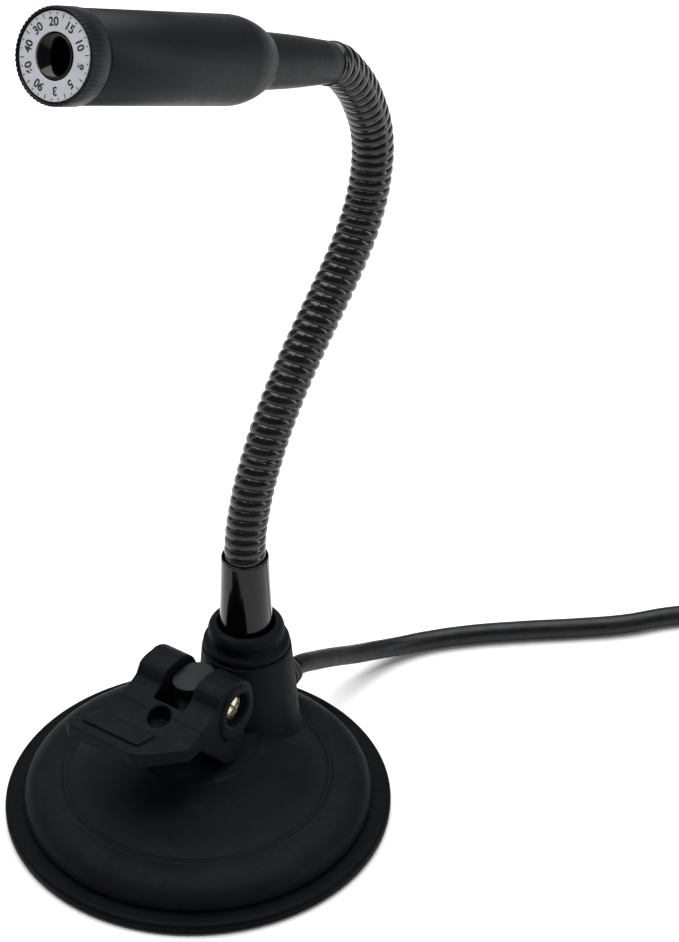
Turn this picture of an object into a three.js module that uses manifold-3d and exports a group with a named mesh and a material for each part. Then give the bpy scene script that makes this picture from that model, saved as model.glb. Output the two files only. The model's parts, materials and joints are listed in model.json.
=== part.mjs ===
// A small tubular USB camera on a gooseneck, standing on a rubber suction cup that a cam lever locks.
// Units are millimetres and +Z is up. The origin is the middle of the suction cup, on the surface it grips.
// The lever is on the -Y side, the hub tower stands on the +Y side, and the neck bends in the YZ plane.
import * as THREE from 'three';
import { mergeVertices } from 'three/addons/utils/BufferGeometryUtils.js';
import Module from 'manifold-3d';

const wasm = await Module();
wasm.setup();

// Clearances
const gap = 0.3; // between neighbours that touch
const overcut = 1; // how far a cutter runs past the face it opens

// Suction cup and its moulded middle
const cupRadius = 40;
const cupRimThickness = 2.5;
const cupRimChamfer = 0.6;
const sealWidth = 9.5; // flat ring that seals against the surface
const membraneThickness = 2.2;
const lockStroke = 2.4; // how far the lever draws the middle of the cup up
const coreRadius = 12.5;
const coreHeight = 5.6;
const flangeRadius = 9.5;
const flangeThickness = 2;
const flangeCover = 1.3; // rubber under the flange

// Base cover
const rimShown = 4.1; // how far the cup's rim stands out of the cover
const coverRadius = cupRadius - rimShown;
const coverWall = 2.4;
const bulgeWidth = 8.4; // rounded outer ring, from the edge in to the bead
const bulgeHeight = 8.3;
const beadRise = 0.3;
const platformRadius = 12;
const platformHeight = 16.6;
const guideRadius = 9;
const guideDepth = 7.2;

// Hub tower on the cover
const hubY = 16.5;
const hubTopZ = 31.8;
const hubTopRadius = 9.25;
const hubFootRadius = 10.8;
const hubFootZ = 13.3;
const hubFilletWidth = 2.8;
const hubWall = 2.1;
const hubRoofThickness = 6.3;
const collarRadius = 8.95;
const collarRimRadius = 6.35;
const collarHeight = 5.7;
const collarFloor = 1.1;

// Lever, its pivot and the post
const leverYaw = THREE.MathUtils.degToRad(3); // the lever points a little to +X
const pivotY = -0.4;
const pivotZ = 30.2;
const postWidth = 6.8;
const postDepth = 9.6;
const postTopZ = 33.9;
const postFootRadius = 5.4;
const earThickness = 6.6;
const earClearance = 0.35; // between the post and each ear
const earRadius = 6.2;
const footZ = platformHeight + 0.4;
const padRise = 0.8;
const padRadius = 5.2;
const tabTopZ = 30;
const tabThickness = 3.2;
const tabReach = 23.1; // from the cup's middle to the tab's front edge
const slotEndY = -8.8;
const slotEndZ = 32.4;
const creaseY = -14.9;
const gripRise = 0.8;
const dimpleRadius = 2.4;
const dimpleDepth = 1.4;
const dimpleY = -11.8;
const pivotShankRadius = 1.5;
const pivotHeadRadius = 3.2;
const pivotHeadThickness = 1.5;
const pivotSink = 1.1; // the head lies this far under the pad's face
const pivotNutRadius = 3.1;
const pivotNutThickness = 2.2;

// Cable
const cableRadius = 2.1;
const cableExitZ = 15.5;

// Gooseneck and its two ferrules
const neckRadius = 4.25;
const neckBallRise = 0.4; // the ball at each joint stands this far out of the hose
const neckSides = 16;
const spigotRadius = 3.4;
const spigotLength = 7.5;
const ferruleMouthRadius = 4.8;
const ferruleFootRadius = 5.45;
const ferruleLength = 16.4; // the part that shows
const ferruleBoreRadius = 4.3;
const studBoreRadius = cableRadius + 0.25;
const studRadius = 4;
const studBottomZ = 20.8;
const nutRadius = 6.3;
const nutThickness = 3;
const washerRadius = 6.8;
const washerThickness = 1;

// The neck's centre line as [y, z], by hand, from inside the lower ferrule to inside the upper one.
const neckPoints = [
  [17.0, 51.5],
  [16.5, 54.9],
  [18.6, 66.5],
  [22.6, 75.8],
  [27.3, 83.7],
  [32.6, 90.6],
  [38.2, 96.8],
  [44.1, 102.9],
  [49.9, 109.4],
  [54.6, 116.7],
  [57.3, 125.2],
  [57.5, 133.0],
  [55.2, 140.6],
  [50.4, 148.8],
  [43.8, 155.0],
  [41.0, 155.2],
];
const jointIndexes = [2, 4, 6, 8, 10, 12]; // the points where the neck bends

// Camera head, measured along its axis from the mouth of its ferrule
const headPitch = THREE.MathUtils.degToRad(23.9); // the lens looks up by this much
const upperFerruleLength = 23.7; // the part that shows
const upperMouthRadius = 4.3;
const caseRadius = 8.3;
const caseWall = 1.3;
const caseRearRadius = 6.1;
const caseShoulder = 9;
const caseLength = 51.8;
const frontRingRadius = 8.5;
const frontRingLength = 5.3;
const frontLip = 0.3;
const dialOuterRadius = 7.66;
const dialInnerRadius = 4.15;
const dialThickness = 0.7;
const hoodMouthRadius = 3.6;
const hoodThroatRadius = 1.9;
const hoodDepth = 6.5;
const hoodWall = 0.25;
const skirtLength = 4.5;
const skirtWall = 1.1;
const holderRadius = 5.2;
const holderBaseRadius = 6.5;
const holderBaseHeight = 3.3;
const holderHeight = 9.7;
const barrelRadius = 4;
const barrelLength = 8.4;
const lensRadius = 2.7;
const sensorSize = 7;
const sensorThickness = 0.9;
const filterSize = 6.8;
const filterThickness = 0.5;
const boardThickness = 1;
const sensorBoardRadius = 6.6;
const mainBoardWidth = 11.4;
const mainBoardLength = 22;
const mainBoardDrop = 1.5; // the board lies under the axis
const smallScrewRadius = 0.6;
const smallHeadRadius = 1.2;
const smallScrewX = 5.2;

// Grommet, the cable's coil and its plug
const grommetLength = 3.6;
const grommetFootRadius = cableRadius + 1.4;
const grommetTipRadius = cableRadius + 0.7;
const grommetNeckRadius = cableRadius + 0.8;
const coilX = 96.5;
const coilY = 95;
const coilTurnOuter = 27.9; // centre line of the outermost turn
const coilTurnInner = 12.9;
const coilLayers = 2;
const coilEndAngle = THREE.MathUtils.degToRad(-7);
const coilEndRun = 17.5; // straight run from the last turn to the plug's strain relief
const tieAngle = THREE.MathUtils.degToRad(-70);
const tieWidth = 3.5;
const tieThickness = 0.8;
const plugWidth = 16;
const plugThickness = 7.8;
const plugGripLength = 22;
const plugCorner = 2.2;
const reliefLength = 12;
const reliefTipRadius = cableRadius + 0.5;
const reliefFootRadius = cableRadius + 1.4;
const shellWidth = 12;
const shellHeight = 4.5;
const shellLength = 18.8;
const shellWall = 0.35;
const tongueThickness = 1.7;

// The cable's centre line from the grommet to the coil, by hand.
const cablePoints = [
  [0.0, 32.2, 15.4],
  [0.0, 34.2, 14.9],
  [0.1, 39.0, 12.8],
  [0.3, 45.2, 9.9],
  [0.8, 51.6, 6.8],
  [1.9, 57.8, 4.5],
  [3.8, 63.6, 2.9],
  [6.7, 69.4, 2.2],
  [12.8, 77.2, 2.1],
  [21.6, 86.1, 2.1],
  [30.2, 94.1, 2.1],
  [38.0, 102.0, 2.1],
  [44.0, 110.0, 2.1],
  [48.7, 114.8, 2.1],
  [56.2, 119.6, 2.1],
  [64.7, 122.3, 2.1],
  [70.6, 122.8, 2.1],
  [78.8, 122.9, 2.1],
];

// Sides of round pieces, by size
const sidesLarge = 48;
const sidesMedium = 28;
const sidesSmall = 18;
const sidesTiny = 12;

const finishes = {
  rubber: material(0x17191b, 0.85, 0),
  hardPlastic: material(0x1a1d20, 0.6, 0),
  glossPlastic: material(0x0b0c0d, 0.15, 0),
  softCoat: material(0x1d2124, 0.55, 0),
  hose: material(0x141617, 0.4, 0.1),
  steel: material(0xb9b4a6, 0.35, 1),
  brass: material(0xb08a3c, 0.4, 1),
  dial: material(0xd9dbdc, 0.4, 0.2),
  board: material(0x1f5a34, 0.5, 0),
  chip: material(0x222426, 0.5, 0),
  socket: material(0xe6e2d4, 0.5, 0),
  glass: material(0x30405a, 0.05, 0),
  cable: material(0x101112, 0.5, 0),
};

function material(color, roughness, metalness) {
  return new THREE.MeshStandardMaterial({ color, roughness, metalness });
}

// ---- From geometry to solid and back ----

// Turns a closed geometry into a solid whose faces point out.
function solidOf(geometry) {
  const bare = new THREE.BufferGeometry();
  bare.setAttribute('position', geometry.getAttribute('position').clone());
  if (geometry.index) {
    bare.setIndex(geometry.index.clone());
  }
  const merged = mergeVertices(bare, 1e-4);
  const triVerts = withoutSlivers(merged.index.array);
  const vertProperties = new Float32Array(merged.getAttribute('position').array);
  if (signedVolume(vertProperties, triVerts) < 0) {
    for (let i = 0; i < triVerts.length; i += 3) {
      const second = triVerts[i + 1];
      triVerts[i + 1] = triVerts[i + 2];
      triVerts[i + 2] = second;
    }
  }
  return new wasm.Manifold(new wasm.Mesh({ numProp: 3, vertProperties, triVerts }));
}

// Drops the triangles that merging has closed to a line, as at a lathe's poles.
function withoutSlivers(index) {
  const kept = [];
  for (let i = 0; i < index.length; i += 3) {
    const [a, b, c] = [index[i], index[i + 1], index[i + 2]];
    if (a !== b && b !== c && c !== a) {
      kept.push(a, b, c);
    }
  }
  return new Uint32Array(kept);
}

function signedVolume(position, index) {
  const corner = [new THREE.Vector3(), new THREE.Vector3(), new THREE.Vector3()];
  let volume = 0;
  for (let i = 0; i < index.length; i += 3) {
    corner.forEach((point, k) => point.fromArray(position, 3 * index[i + k]));
    volume += corner[0].dot(corner[1].clone().cross(corner[2])) / 6;
  }
  return volume;
}

function piece(name, solid, finish) {
  const cut = solid.getMesh();
  const geometry = new THREE.BufferGeometry();
  geometry.setAttribute('position', new THREE.BufferAttribute(cut.vertProperties, 3));
  geometry.setIndex(new THREE.BufferAttribute(cut.triVerts, 1));
  geometry.computeVertexNormals();
  const mesh = new THREE.Mesh(geometry, finish);
  mesh.name = name;
  return mesh;
}

function joined(...solids) {
  return solids.reduce((whole, part) => whole.add(part));
}

function cut(body, ...cutters) {
  return cutters.reduce((rest, cutter) => rest.subtract(cutter), body);
}

// ---- Basic shapes ----

// A turned body about Z. The profile holds [radius, z] points, from axis to axis or closed on itself.
function turned(profile, sides) {
  const points = profile.map(([r, z]) => new THREE.Vector2(r, z));
  const geometry = new THREE.LatheGeometry(points, sides);
  geometry.rotateX(Math.PI / 2);
  return geometry;
}

// A turned ring about Z: the profile is closed here.
function ring(profile, sides) {
  return turned([...profile, profile[0]], sides);
}

// A round bar about Z between two heights.
function bar(radius, bottom, top, sides) {
  return turned([[0, bottom], [radius, bottom], [radius, top], [0, top]], sides);
}

// A box about Z between two heights, with its middle at x, y.
function slab(width, depth, bottom, top, x = 0, y = 0) {
  const geometry = new THREE.BoxGeometry(width, depth, top - bottom);
  geometry.translate(x, y, (top + bottom) / 2);
  return geometry;
}

// Turns a geometry that stands along Z so that it lies along X.
function alongX(geometry) {
  return geometry.rotateY(Math.PI / 2);
}

// Turns a geometry that stands along Z so that it lies along Y.
function alongY(geometry) {
  return geometry.rotateX(-Math.PI / 2);
}

// A prism along X from an outline drawn in the YZ plane.
function prismX(outline, from, to) {
  const geometry = new THREE.ExtrudeGeometry(outline, {
    depth: to - from,
    bevelEnabled: false,
    curveSegments: 10,
  });
  const yz = new THREE.Matrix4().makeBasis(
    new THREE.Vector3(0, 1, 0),
    new THREE.Vector3(0, 0, 1),
    new THREE.Vector3(1, 0, 0),
  );
  geometry.applyMatrix4(yz);
  return geometry.translate(from, 0, 0);
}

// A prism along Z from an outline drawn in the XY plane.
function prismZ(outline, bottom, top, curveSegments = 8) {
  const geometry = new THREE.ExtrudeGeometry(outline, {
    depth: top - bottom,
    bevelEnabled: false,
    curveSegments,
  });
  return geometry.translate(0, 0, bottom);
}

function polygon(points) {
  return new THREE.Shape(points.map(([x, y]) => new THREE.Vector2(x, y)));
}

// A slot outline with round ends, longer along y, with its middle at x, y.
function obround(width, length, x = 0, y = 0) {
  const radius = width / 2;
  const reach = length / 2 - radius;
  const shape = new THREE.Shape();
  shape.absarc(x, y + reach, radius, 0, Math.PI, false);
  shape.absarc(x, y - reach, radius, Math.PI, 2 * Math.PI, false);
  shape.closePath();
  return shape;
}

function roundedRectangle(width, height, corner, path = new THREE.Shape()) {
  const x = width / 2 - corner;
  const y = height / 2 - corner;
  path.absarc(x, y, corner, 0, Math.PI / 2, false);
  path.absarc(-x, y, corner, Math.PI / 2, Math.PI, false);
  path.absarc(-x, -y, corner, Math.PI, 1.5 * Math.PI, false);
  path.absarc(x, -y, corner, 1.5 * Math.PI, 2 * Math.PI, false);
  path.closePath();
  return path;
}

// A round tube filled solid along a curve.
function sweep(curve, radius, sides, steps) {
  const section = new THREE.Shape();
  section.absarc(0, 0, radius, 0, 2 * Math.PI, false);
  return new THREE.ExtrudeGeometry(section, {
    steps,
    extrudePath: curve,
    curveSegments: sides / 2,
    bevelEnabled: false,
  });
}

// ---- Suction cup ----

const sealInner = cupRadius - cupRimChamfer - sealWidth;
const coreBottom = lockStroke;

function suctionCup() {
  const inner = coreRadius + gap;
  return solidOf(ring([
    [inner, coreBottom],
    [sealInner, 0],
    [cupRadius - cupRimChamfer, 0],
    [cupRadius, cupRimChamfer],
    [cupRadius, cupRimThickness - cupRimChamfer],
    [cupRadius - cupRimChamfer, cupRimThickness],
    [sealInner, cupRimThickness],
    [inner, coreBottom + membraneThickness],
  ], sidesLarge));
}

const flangeBottom = coreBottom + flangeCover + gap;
const flangeTop = flangeBottom + flangeThickness;
const coreTop = coreBottom + coreHeight;

function cupCore() {
  const bore = postFootRadius + gap;
  const pocket = flangeRadius + gap;
  const edge = 0.8;
  return solidOf(turned([
    [0, coreBottom],
    [coreRadius, coreBottom],
    [coreRadius, coreTop - edge],
    [coreRadius - edge, coreTop],
    [bore, coreTop],
    [bore, flangeTop + gap],
    [pocket, flangeTop + gap],
    [pocket, flangeBottom - gap],
    [0, flangeBottom - gap],
  ], sidesMedium));
}

// ---- Pull stem, in the lever's frame ----

function pullStem() {
  const foot = solidOf(turned([
    [0, flangeBottom],
    [flangeRadius, flangeBottom],
    [flangeRadius, flangeTop],
    [postFootRadius, flangeTop],
    [postFootRadius, coreTop + gap],
    [0, coreTop + gap],
  ], sidesMedium));
  const post = solidOf(prismZ(obround(postWidth, postDepth, 0, pivotY), coreTop, postTopZ));
  const bore = alongX(bar(pivotShankRadius + gap, -postWidth, postWidth, sidesSmall));
  bore.translate(0, pivotY, pivotZ);
  return cut(joined(foot, post), solidOf(bore));
}

// ---- Base cover with the hub tower ----

const coverBottom = cupRimThickness + gap;
const beadRadius = coverRadius - bulgeWidth;
const hubRoofZ = hubTopZ - hubRoofThickness;

function coverShell() {
  const guideBottom = platformHeight - guideDepth;
  const under = coverWall;
  return solidOf(turned([
    [0, guideBottom],
    [guideRadius, guideBottom],
    [guideRadius, platformHeight - under],
    [platformRadius + 0.6, platformHeight - under],
    [beadRadius, bulgeHeight - under + 0.3],
    [beadRadius + 0.45 * bulgeWidth, bulgeHeight - under - 0.5],
    [coverRadius - under, coverBottom + 1.6],
    [coverRadius - under, coverBottom],
    [coverRadius, coverBottom],
    [coverRadius, coverBottom + 1.2],
    [coverRadius - 0.09 * bulgeWidth, coverBottom + 2.7],
    [coverRadius - 0.27 * bulgeWidth, bulgeHeight - 1.5],
    [coverRadius - 0.58 * bulgeWidth, bulgeHeight - 0.5],
    [beadRadius + 0.6, bulgeHeight],
    [beadRadius + 0.3, bulgeHeight + beadRise],
    [beadRadius - 0.3, bulgeHeight + beadRise],
    [beadRadius - 0.6, bulgeHeight + beadRise],
    [platformRadius + 1, platformHeight - 0.5],
    [platformRadius, platformHeight],
    [0, platformHeight],
  ], sidesLarge));
}

function hubTower() {
  const root = bulgeHeight - 0.7;
  return solidOf(turned([
    [0, root],
    [hubFootRadius + hubFilletWidth, root],
    [hubFootRadius + 0.5 * hubFilletWidth, root + 1.6],
    [hubFootRadius + 0.14 * hubFilletWidth, root + 3.6],
    [hubFootRadius, hubFootZ],
    [hubTopRadius, hubTopZ],
    [0, hubTopZ],
  ], sidesMedium).translate(0, hubY, 0));
}

function baseCover() {
  const hollow = solidOf(turned([
    [0, coverBottom],
    [hubFootRadius - hubWall, coverBottom],
    [hubFootRadius - hubWall, hubFootZ],
    [hubTopRadius - hubWall, hubRoofZ],
    [0, hubRoofZ],
  ], sidesMedium).translate(0, hubY, 0));
  const studHole = bar(studRadius + gap, hubRoofZ - overcut, hubTopZ + overcut, sidesSmall);
  const cableHole = alongY(bar(grommetNeckRadius + gap, 0, 2 * hubFootRadius, sidesSmall));
  const postHole = prismZ(
    obround(postWidth + 2 * gap, postDepth + 2 * gap, 0, pivotY),
    0,
    platformHeight + overcut,
  );
  const coreRoom = bar(coreRadius + 2 * gap, 0, coreTop + 2 * gap, sidesMedium);
  return cut(
    joined(coverShell(), hubTower()),
    hollow,
    solidOf(coreRoom),
    solidOf(studHole.translate(0, hubY, 0)),
    solidOf(cableHole.translate(0, hubY, cableExitZ)),
    solidOf(postHole.rotateZ(leverYaw)),
  );
}

// ---- Lever, in a frame turned by leverYaw: X along the pivot, -Y to the thumb tab ----

const earInner = postWidth / 2 + earClearance;
const earOuter = earInner + earThickness;
const padFace = earOuter + padRise;

// Side view of an ear: round behind the pivot, a slope down to the tab, and a narrow foot over the cover.
function earOutline() {
  const shape = new THREE.Shape();
  shape.moveTo(pivotY - 0.4, footZ);
  shape.lineTo(pivotY + 0.8, footZ + 0.4);
  shape.lineTo(pivotY + 2.3, footZ + 3.4);
  shape.lineTo(pivotY + 4.2, footZ + 7.4);
  shape.absarc(pivotY, pivotZ, earRadius, -0.5, Math.PI / 2, false);
  shape.lineTo(pivotY - 2.2, pivotZ + earRadius);
  shape.quadraticCurveTo(pivotY - 4.4, pivotZ + 5.4, pivotY - 5.7, pivotZ + 3.5);
  shape.lineTo(slotEndY - 0.8, slotEndZ - 0.2);
  shape.lineTo(slotEndY - 2.4, slotEndZ - 0.7);
  shape.lineTo(slotEndY - 2.4, tabTopZ - tabThickness);
  shape.lineTo(pivotY - 4.6, footZ + 2.6);
  shape.lineTo(pivotY - 3.8, footZ + 1.2);
  shape.closePath();
  return shape;
}

// Side view of the web and the tab: down from the slot's end to a crease, then level.
function tabSide() {
  const underside = tabTopZ - tabThickness;
  return polygon([
    [slotEndY, slotEndZ],
    [creaseY, tabTopZ],
    [-tabReach - overcut, tabTopZ],
    [-tabReach - overcut, underside],
    [slotEndY - 1.4, underside],
    [slotEndY, underside + 1.6],
  ]);
}

// Plan of the tab: swept to -X, with one corner cut off.
function tabPlan() {
  const side = earOuter - 0.2;
  return polygon([
    [side, slotEndY + overcut],
    [-side, slotEndY + overcut],
    [-side - 1.9, -16.2],
    [-side - 4.2, -20.4],
    [-side - 4.8, 1.6 - tabReach],
    [-side - 3.6, -tabReach],
    [1.2, -tabReach],
    [4, 1.2 - tabReach],
    [side, 7.4 - tabReach],
  ]);
}

function gripPad() {
  const plan = polygon([
    [1.4, 2.2 - tabReach],
    [2.6, creaseY - 1.6],
    [-11.2, creaseY - 1.6],
    [-12.6, 2.2 - tabReach],
  ]);
  return solidOf(prismZ(plan, tabTopZ - overcut, tabTopZ + gripRise));
}

function thumbTab() {
  const width = 2 * tabReach;
  const plate = solidOf(prismX(tabSide(), -width, width));
  return plate.intersect(solidOf(prismZ(tabPlan(), 0, 2 * slotEndZ))).add(gripPad());
}

// The raised pad round the screw, longer downwards.
function earPad() {
  const length = 2.3 * padRadius;
  const shape = obround(2 * padRadius, length, pivotY, pivotZ - (length / 2 - padRadius));
  return solidOf(prismX(shape, earOuter - overcut, padFace));
}

const pivotHeadFace = padFace - pivotSink;
const pivotHeadBack = pivotHeadFace - pivotHeadThickness;

function crossways(radius, from, to, sides) {
  return solidOf(alongX(bar(radius, from, to, sides)).translate(0, pivotY, pivotZ));
}

function lever() {
  const rightEar = solidOf(prismX(earOutline(), earInner, earOuter));
  const leftEar = solidOf(prismX(earOutline(), -earOuter, -earInner));
  const webSlope = (slotEndZ - tabTopZ) / (slotEndY - creaseY);
  const dimpleZ = slotEndZ + (dimpleY - slotEndY) * webSlope;
  const dimple = bar(dimpleRadius, dimpleZ - dimpleDepth, slotEndZ + overcut, sidesSmall);
  const seatDepth = padFace - pivotHeadThickness - pivotSink - gap;
  return cut(
    joined(rightEar, leftEar, thumbTab(), earPad()),
    solidOf(dimple.translate(0, dimpleY, 0)),
    crossways(pivotShankRadius + gap, -earOuter - overcut, earOuter + overcut, sidesSmall),
    crossways(pivotHeadRadius + gap, seatDepth, padFace + overcut, sidesSmall),
    crossways(pivotNutRadius + gap, -earOuter - overcut, -earOuter + pivotNutThickness + gap, sidesSmall),
  );
}

function pivotScrew() {
  return joined(
    crossways(pivotHeadRadius, pivotHeadBack, pivotHeadFace, sidesSmall),
    crossways(pivotShankRadius, -earOuter + gap, pivotHeadBack + 0.1, sidesTiny),
  );
}

function pivotNut() {
  return cut(
    crossways(pivotNutRadius, -earOuter, -earOuter + pivotNutThickness, 6),
    crossways(pivotShankRadius + gap, -earOuter - overcut, 0, sidesTiny),
  );
}

// ---- Hub fittings, on the tower's axis ----

const collarBottom = hubTopZ + gap;
const collarTop = collarBottom + collarHeight;
const ferruleBottom = collarBottom + collarFloor + gap;
const ferruleTop = collarTop + ferruleLength + gap;

function collar() {
  const bore = ferruleFootRadius + 0.2 + gap;
  const ledge = collarRadius - 1.2;
  return solidOf(ring([
    [studRadius + 0.5, collarBottom],
    [collarRadius, collarBottom],
    [collarRadius, collarBottom + 1.1],
    [collarRadius - 0.35, collarBottom + 1.6],
    [ledge, collarBottom + 1.8],
    [ledge, collarTop - 2.2],
    [ledge + 0.1, collarTop - 1.8],
    [ledge - 0.15, collarTop - 1],
    [collarRimRadius + 0.35, collarTop - 0.2],
    [collarRimRadius, collarTop],
    [bore, collarTop],
    [bore, collarBottom + collarFloor],
    [studRadius + 0.5, collarBottom + collarFloor],
  ], sidesMedium));
}

// A tapered sleeve: foot at z = foot, mouth at z = mouth, wide bore at the foot and narrow at the mouth.
function sleeveProfile(foot, shoulder, mouth) {
  const narrow = spigotRadius + gap;
  const step = mouth - (spigotLength + 2) * Math.sign(mouth - foot);
  return [
    [ferruleBoreRadius, foot],
    [ferruleFootRadius + 0.15, foot],
    [ferruleFootRadius, shoulder],
    [ferruleMouthRadius, mouth],
    [narrow, mouth],
    [narrow, step],
    [ferruleBoreRadius, step],
  ];
}

function lowerFerrule() {
  return solidOf(ring(sleeveProfile(ferruleBottom, collarTop, ferruleTop), sidesMedium));
}

function neckStud() {
  const top = ferruleTop - spigotLength - 2 - gap;
  return cut(
    solidOf(bar(studRadius, studBottomZ, top, sidesSmall)),
    solidOf(bar(studBoreRadius, studBottomZ - overcut, top + overcut, sidesTiny)),
  );
}

const washerTop = hubRoofZ - gap;
const hubNutTop = washerTop - washerThickness - gap;

function neckWasher() {
  return cut(
    solidOf(bar(washerRadius, washerTop - washerThickness, washerTop, sidesSmall)),
    solidOf(bar(studRadius + gap, washerTop - 2, washerTop + overcut, sidesSmall)),
  );
}

function neckNut() {
  const bottom = hubNutTop - nutThickness;
  return cut(
    solidOf(bar(nutRadius, bottom, hubNutTop, 6)),
    solidOf(bar(studRadius + gap, bottom - overcut, hubNutTop + overcut, sidesSmall)),
  );
}

// Along Y from inside the tower: a neck through the wall and a tapered boot outside it.
function cableGrommet() {
  const face = hubFootRadius + 2 * gap;
  const bore = cableRadius + gap;
  return solidOf(alongY(ring([
    [bore, face - hubWall - 1],
    [grommetNeckRadius, face - hubWall - 1],
    [grommetNeckRadius, face],
    [grommetFootRadius, face],
    [grommetTipRadius, face + grommetLength],
    [bore, face + grommetLength],
  ], sidesSmall)).translate(0, hubY, cableExitZ));
}

// The stretch of cable inside the tower, up into the stud.
function innerLead() {
  const points = [
    [hubY, ferruleTop - spigotLength - 3],
    [hubY, 30],
    [hubY, 23.5],
    [hubY, 20.6],
    [hubY + 1.2, 17.6],
    [hubY + 3.9, cableExitZ + 0.2],
    [hubY + 8, cableExitZ],
    [hubY + 14.8, cableExitZ],
  ];
  const curve = new THREE.CatmullRomCurve3(points.map(([y, z]) => new THREE.Vector3(0, y, z)));
  return solidOf(sweep(curve, cableRadius, 10, 18));
}

// ---- Gooseneck ----

const neckCurve = new THREE.CatmullRomCurve3(
  neckPoints.map(([y, z]) => new THREE.Vector3(0, y, z)),
  false,
  'centripetal',
);
const neckSpans = neckPoints.length - 1;
const lastVisible = neckSpans - 1; // the outermost points only set the direction inside the ferrules
const jointCentres = jointIndexes.map((i) => new THREE.Vector3(0, ...neckPoints[i]));

// The part of the neck's centre line between two of its points, as a curve of its own.
function neckStretch(from, to) {
  const samples = 3 * (to - from);
  const points = [];
  for (let i = 0; i <= samples; i += 1) {
    points.push(neckCurve.getPoint((from + (i / samples) * (to - from)) / neckSpans));
  }
  return new THREE.CatmullRomCurve3(points);
}

function ballAt(centre, radius) {
  const geometry = new THREE.SphereGeometry(radius, neckSides, 8);
  return solidOf(geometry.translate(centre.x, centre.y, centre.z));
}

// One length of hose: a ball at its lower end turns in the cup at the upper end of the length below.
function neckLength(number) {
  const ball = neckRadius + neckBallRise;
  const from = number === 0 ? 1 : jointIndexes[number - 1];
  const to = number === jointIndexes.length ? lastVisible : jointIndexes[number];
  let body = solidOf(sweep(neckStretch(from, to), neckRadius, neckSides, 2 * (to - from) + 1));
  if (number > 0) {
    body = body.add(ballAt(jointCentres[number - 1], ball));
  }
  if (number < jointIndexes.length) {
    body = body.subtract(ballAt(jointCentres[number], ball + gap));
  }
  return body;
}

// The thinner end of the hose inside a ferrule, along Z from the mouth.
function spigot(mouth, inwards) {
  const reach = spigotLength * inwards;
  const start = Math.min(mouth - 0.8 * inwards, mouth + reach);
  const end = Math.max(mouth - 0.8 * inwards, mouth + reach);
  return bar(spigotRadius, start, end, neckSides);
}

// ---- Camera head, along Z from the mouth of its ferrule ----

const caseBack = upperFerruleLength + gap;
const caseFront = caseBack + caseLength;
const frontRingBack = caseFront + gap;
const face = frontRingBack + frontLip + frontRingLength - 0.6;
const headSpigotRadius = 4.2;
const headSpigotLength = 8;

function upperFerrule() {
  const narrow = spigotRadius + gap;
  const wire = studBoreRadius + 0.25;
  return solidOf(ring([
    [narrow, 0],
    [upperMouthRadius, 0],
    [upperMouthRadius + 0.65, 0.5 * upperFerruleLength],
    [ferruleFootRadius, upperFerruleLength],
    [headSpigotRadius, upperFerruleLength],
    [headSpigotRadius, upperFerruleLength + headSpigotLength],
    [wire, upperFerruleLength + headSpigotLength],
    [wire, spigotLength + 2],
    [narrow, spigotLength + 2],
  ], sidesMedium));
}

// How far the shoulder has opened out at a share of its length.
function shoulderRadius(share) {
  return caseRearRadius + (caseRadius - caseRearRadius) * (1 - (1 - share) ** 1.7);
}

function cameraCase() {
  const bore = headSpigotRadius + gap;
  const shares = [0, 0.25, 0.5, 0.75, 1];
  const shoulder = shares.map((share) => [shoulderRadius(share), caseBack + share * caseShoulder]);
  return solidOf(ring([
    [bore, caseBack],
    ...shoulder,
    [caseRadius, caseFront],
    [caseRadius - caseWall, caseFront],
    [caseRadius - caseWall, caseBack + 0.9 * caseShoulder],
    [caseRearRadius + 0.1, caseBack + 4],
    [bore, caseBack + 4],
  ], 40));
}

function headNut() {
  const bottom = caseBack + 4 + gap;
  return cut(
    solidOf(bar(caseRearRadius - 0.3, bottom, bottom + 2.6, 6)),
    solidOf(bar(headSpigotRadius + gap, bottom - overcut, bottom + 4, sidesMedium)),
  );
}

const sensorBoardBack = caseBack + 36.2;
const sensorBoardFront = sensorBoardBack + boardThickness;
const holderBack = sensorBoardFront + gap;
const mainBoardFront = sensorBoardBack - 3;
const mainBoardBack = mainBoardFront - mainBoardLength;
const mainBoardTop = -mainBoardDrop + boardThickness;

function mainBoard() {
  const shape = slab(mainBoardWidth, boardThickness, mainBoardBack, mainBoardFront);
  return solidOf(shape.translate(0, -mainBoardDrop + boardThickness / 2, 0));
}

// A block that stands on the main board's upper face.
function onBoard(width, height, back, length) {
  const shape = slab(width, height, mainBoardBack + back, mainBoardBack + back + length);
  return solidOf(shape.translate(0, mainBoardTop + gap + height / 2, 0));
}

function boardHeader() {
  const shape = slab(7, 1.8, mainBoardFront - 3, sensorBoardBack - gap);
  return solidOf(shape.translate(0, mainBoardTop + gap + 0.9, 0));
}

function screwHoles(bottom, top) {
  return [-smallScrewX, smallScrewX].map((x) => (
    solidOf(bar(smallScrewRadius + gap, bottom, top, sidesTiny).translate(x, 0, 0))
  ));
}

function sensorBoard() {
  return cut(
    solidOf(bar(sensorBoardRadius, sensorBoardBack, sensorBoardFront, sidesMedium)),
    ...screwHoles(sensorBoardBack - overcut, sensorBoardFront + overcut),
  );
}

function imageSensor() {
  return solidOf(slab(sensorSize, sensorSize, holderBack, holderBack + sensorThickness));
}

const filterBack = holderBack + sensorThickness + gap;
const cavityTop = filterBack + filterThickness + gap;

function infraredFilter() {
  return solidOf(slab(filterSize, filterSize, filterBack, filterBack + filterThickness));
}

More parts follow.
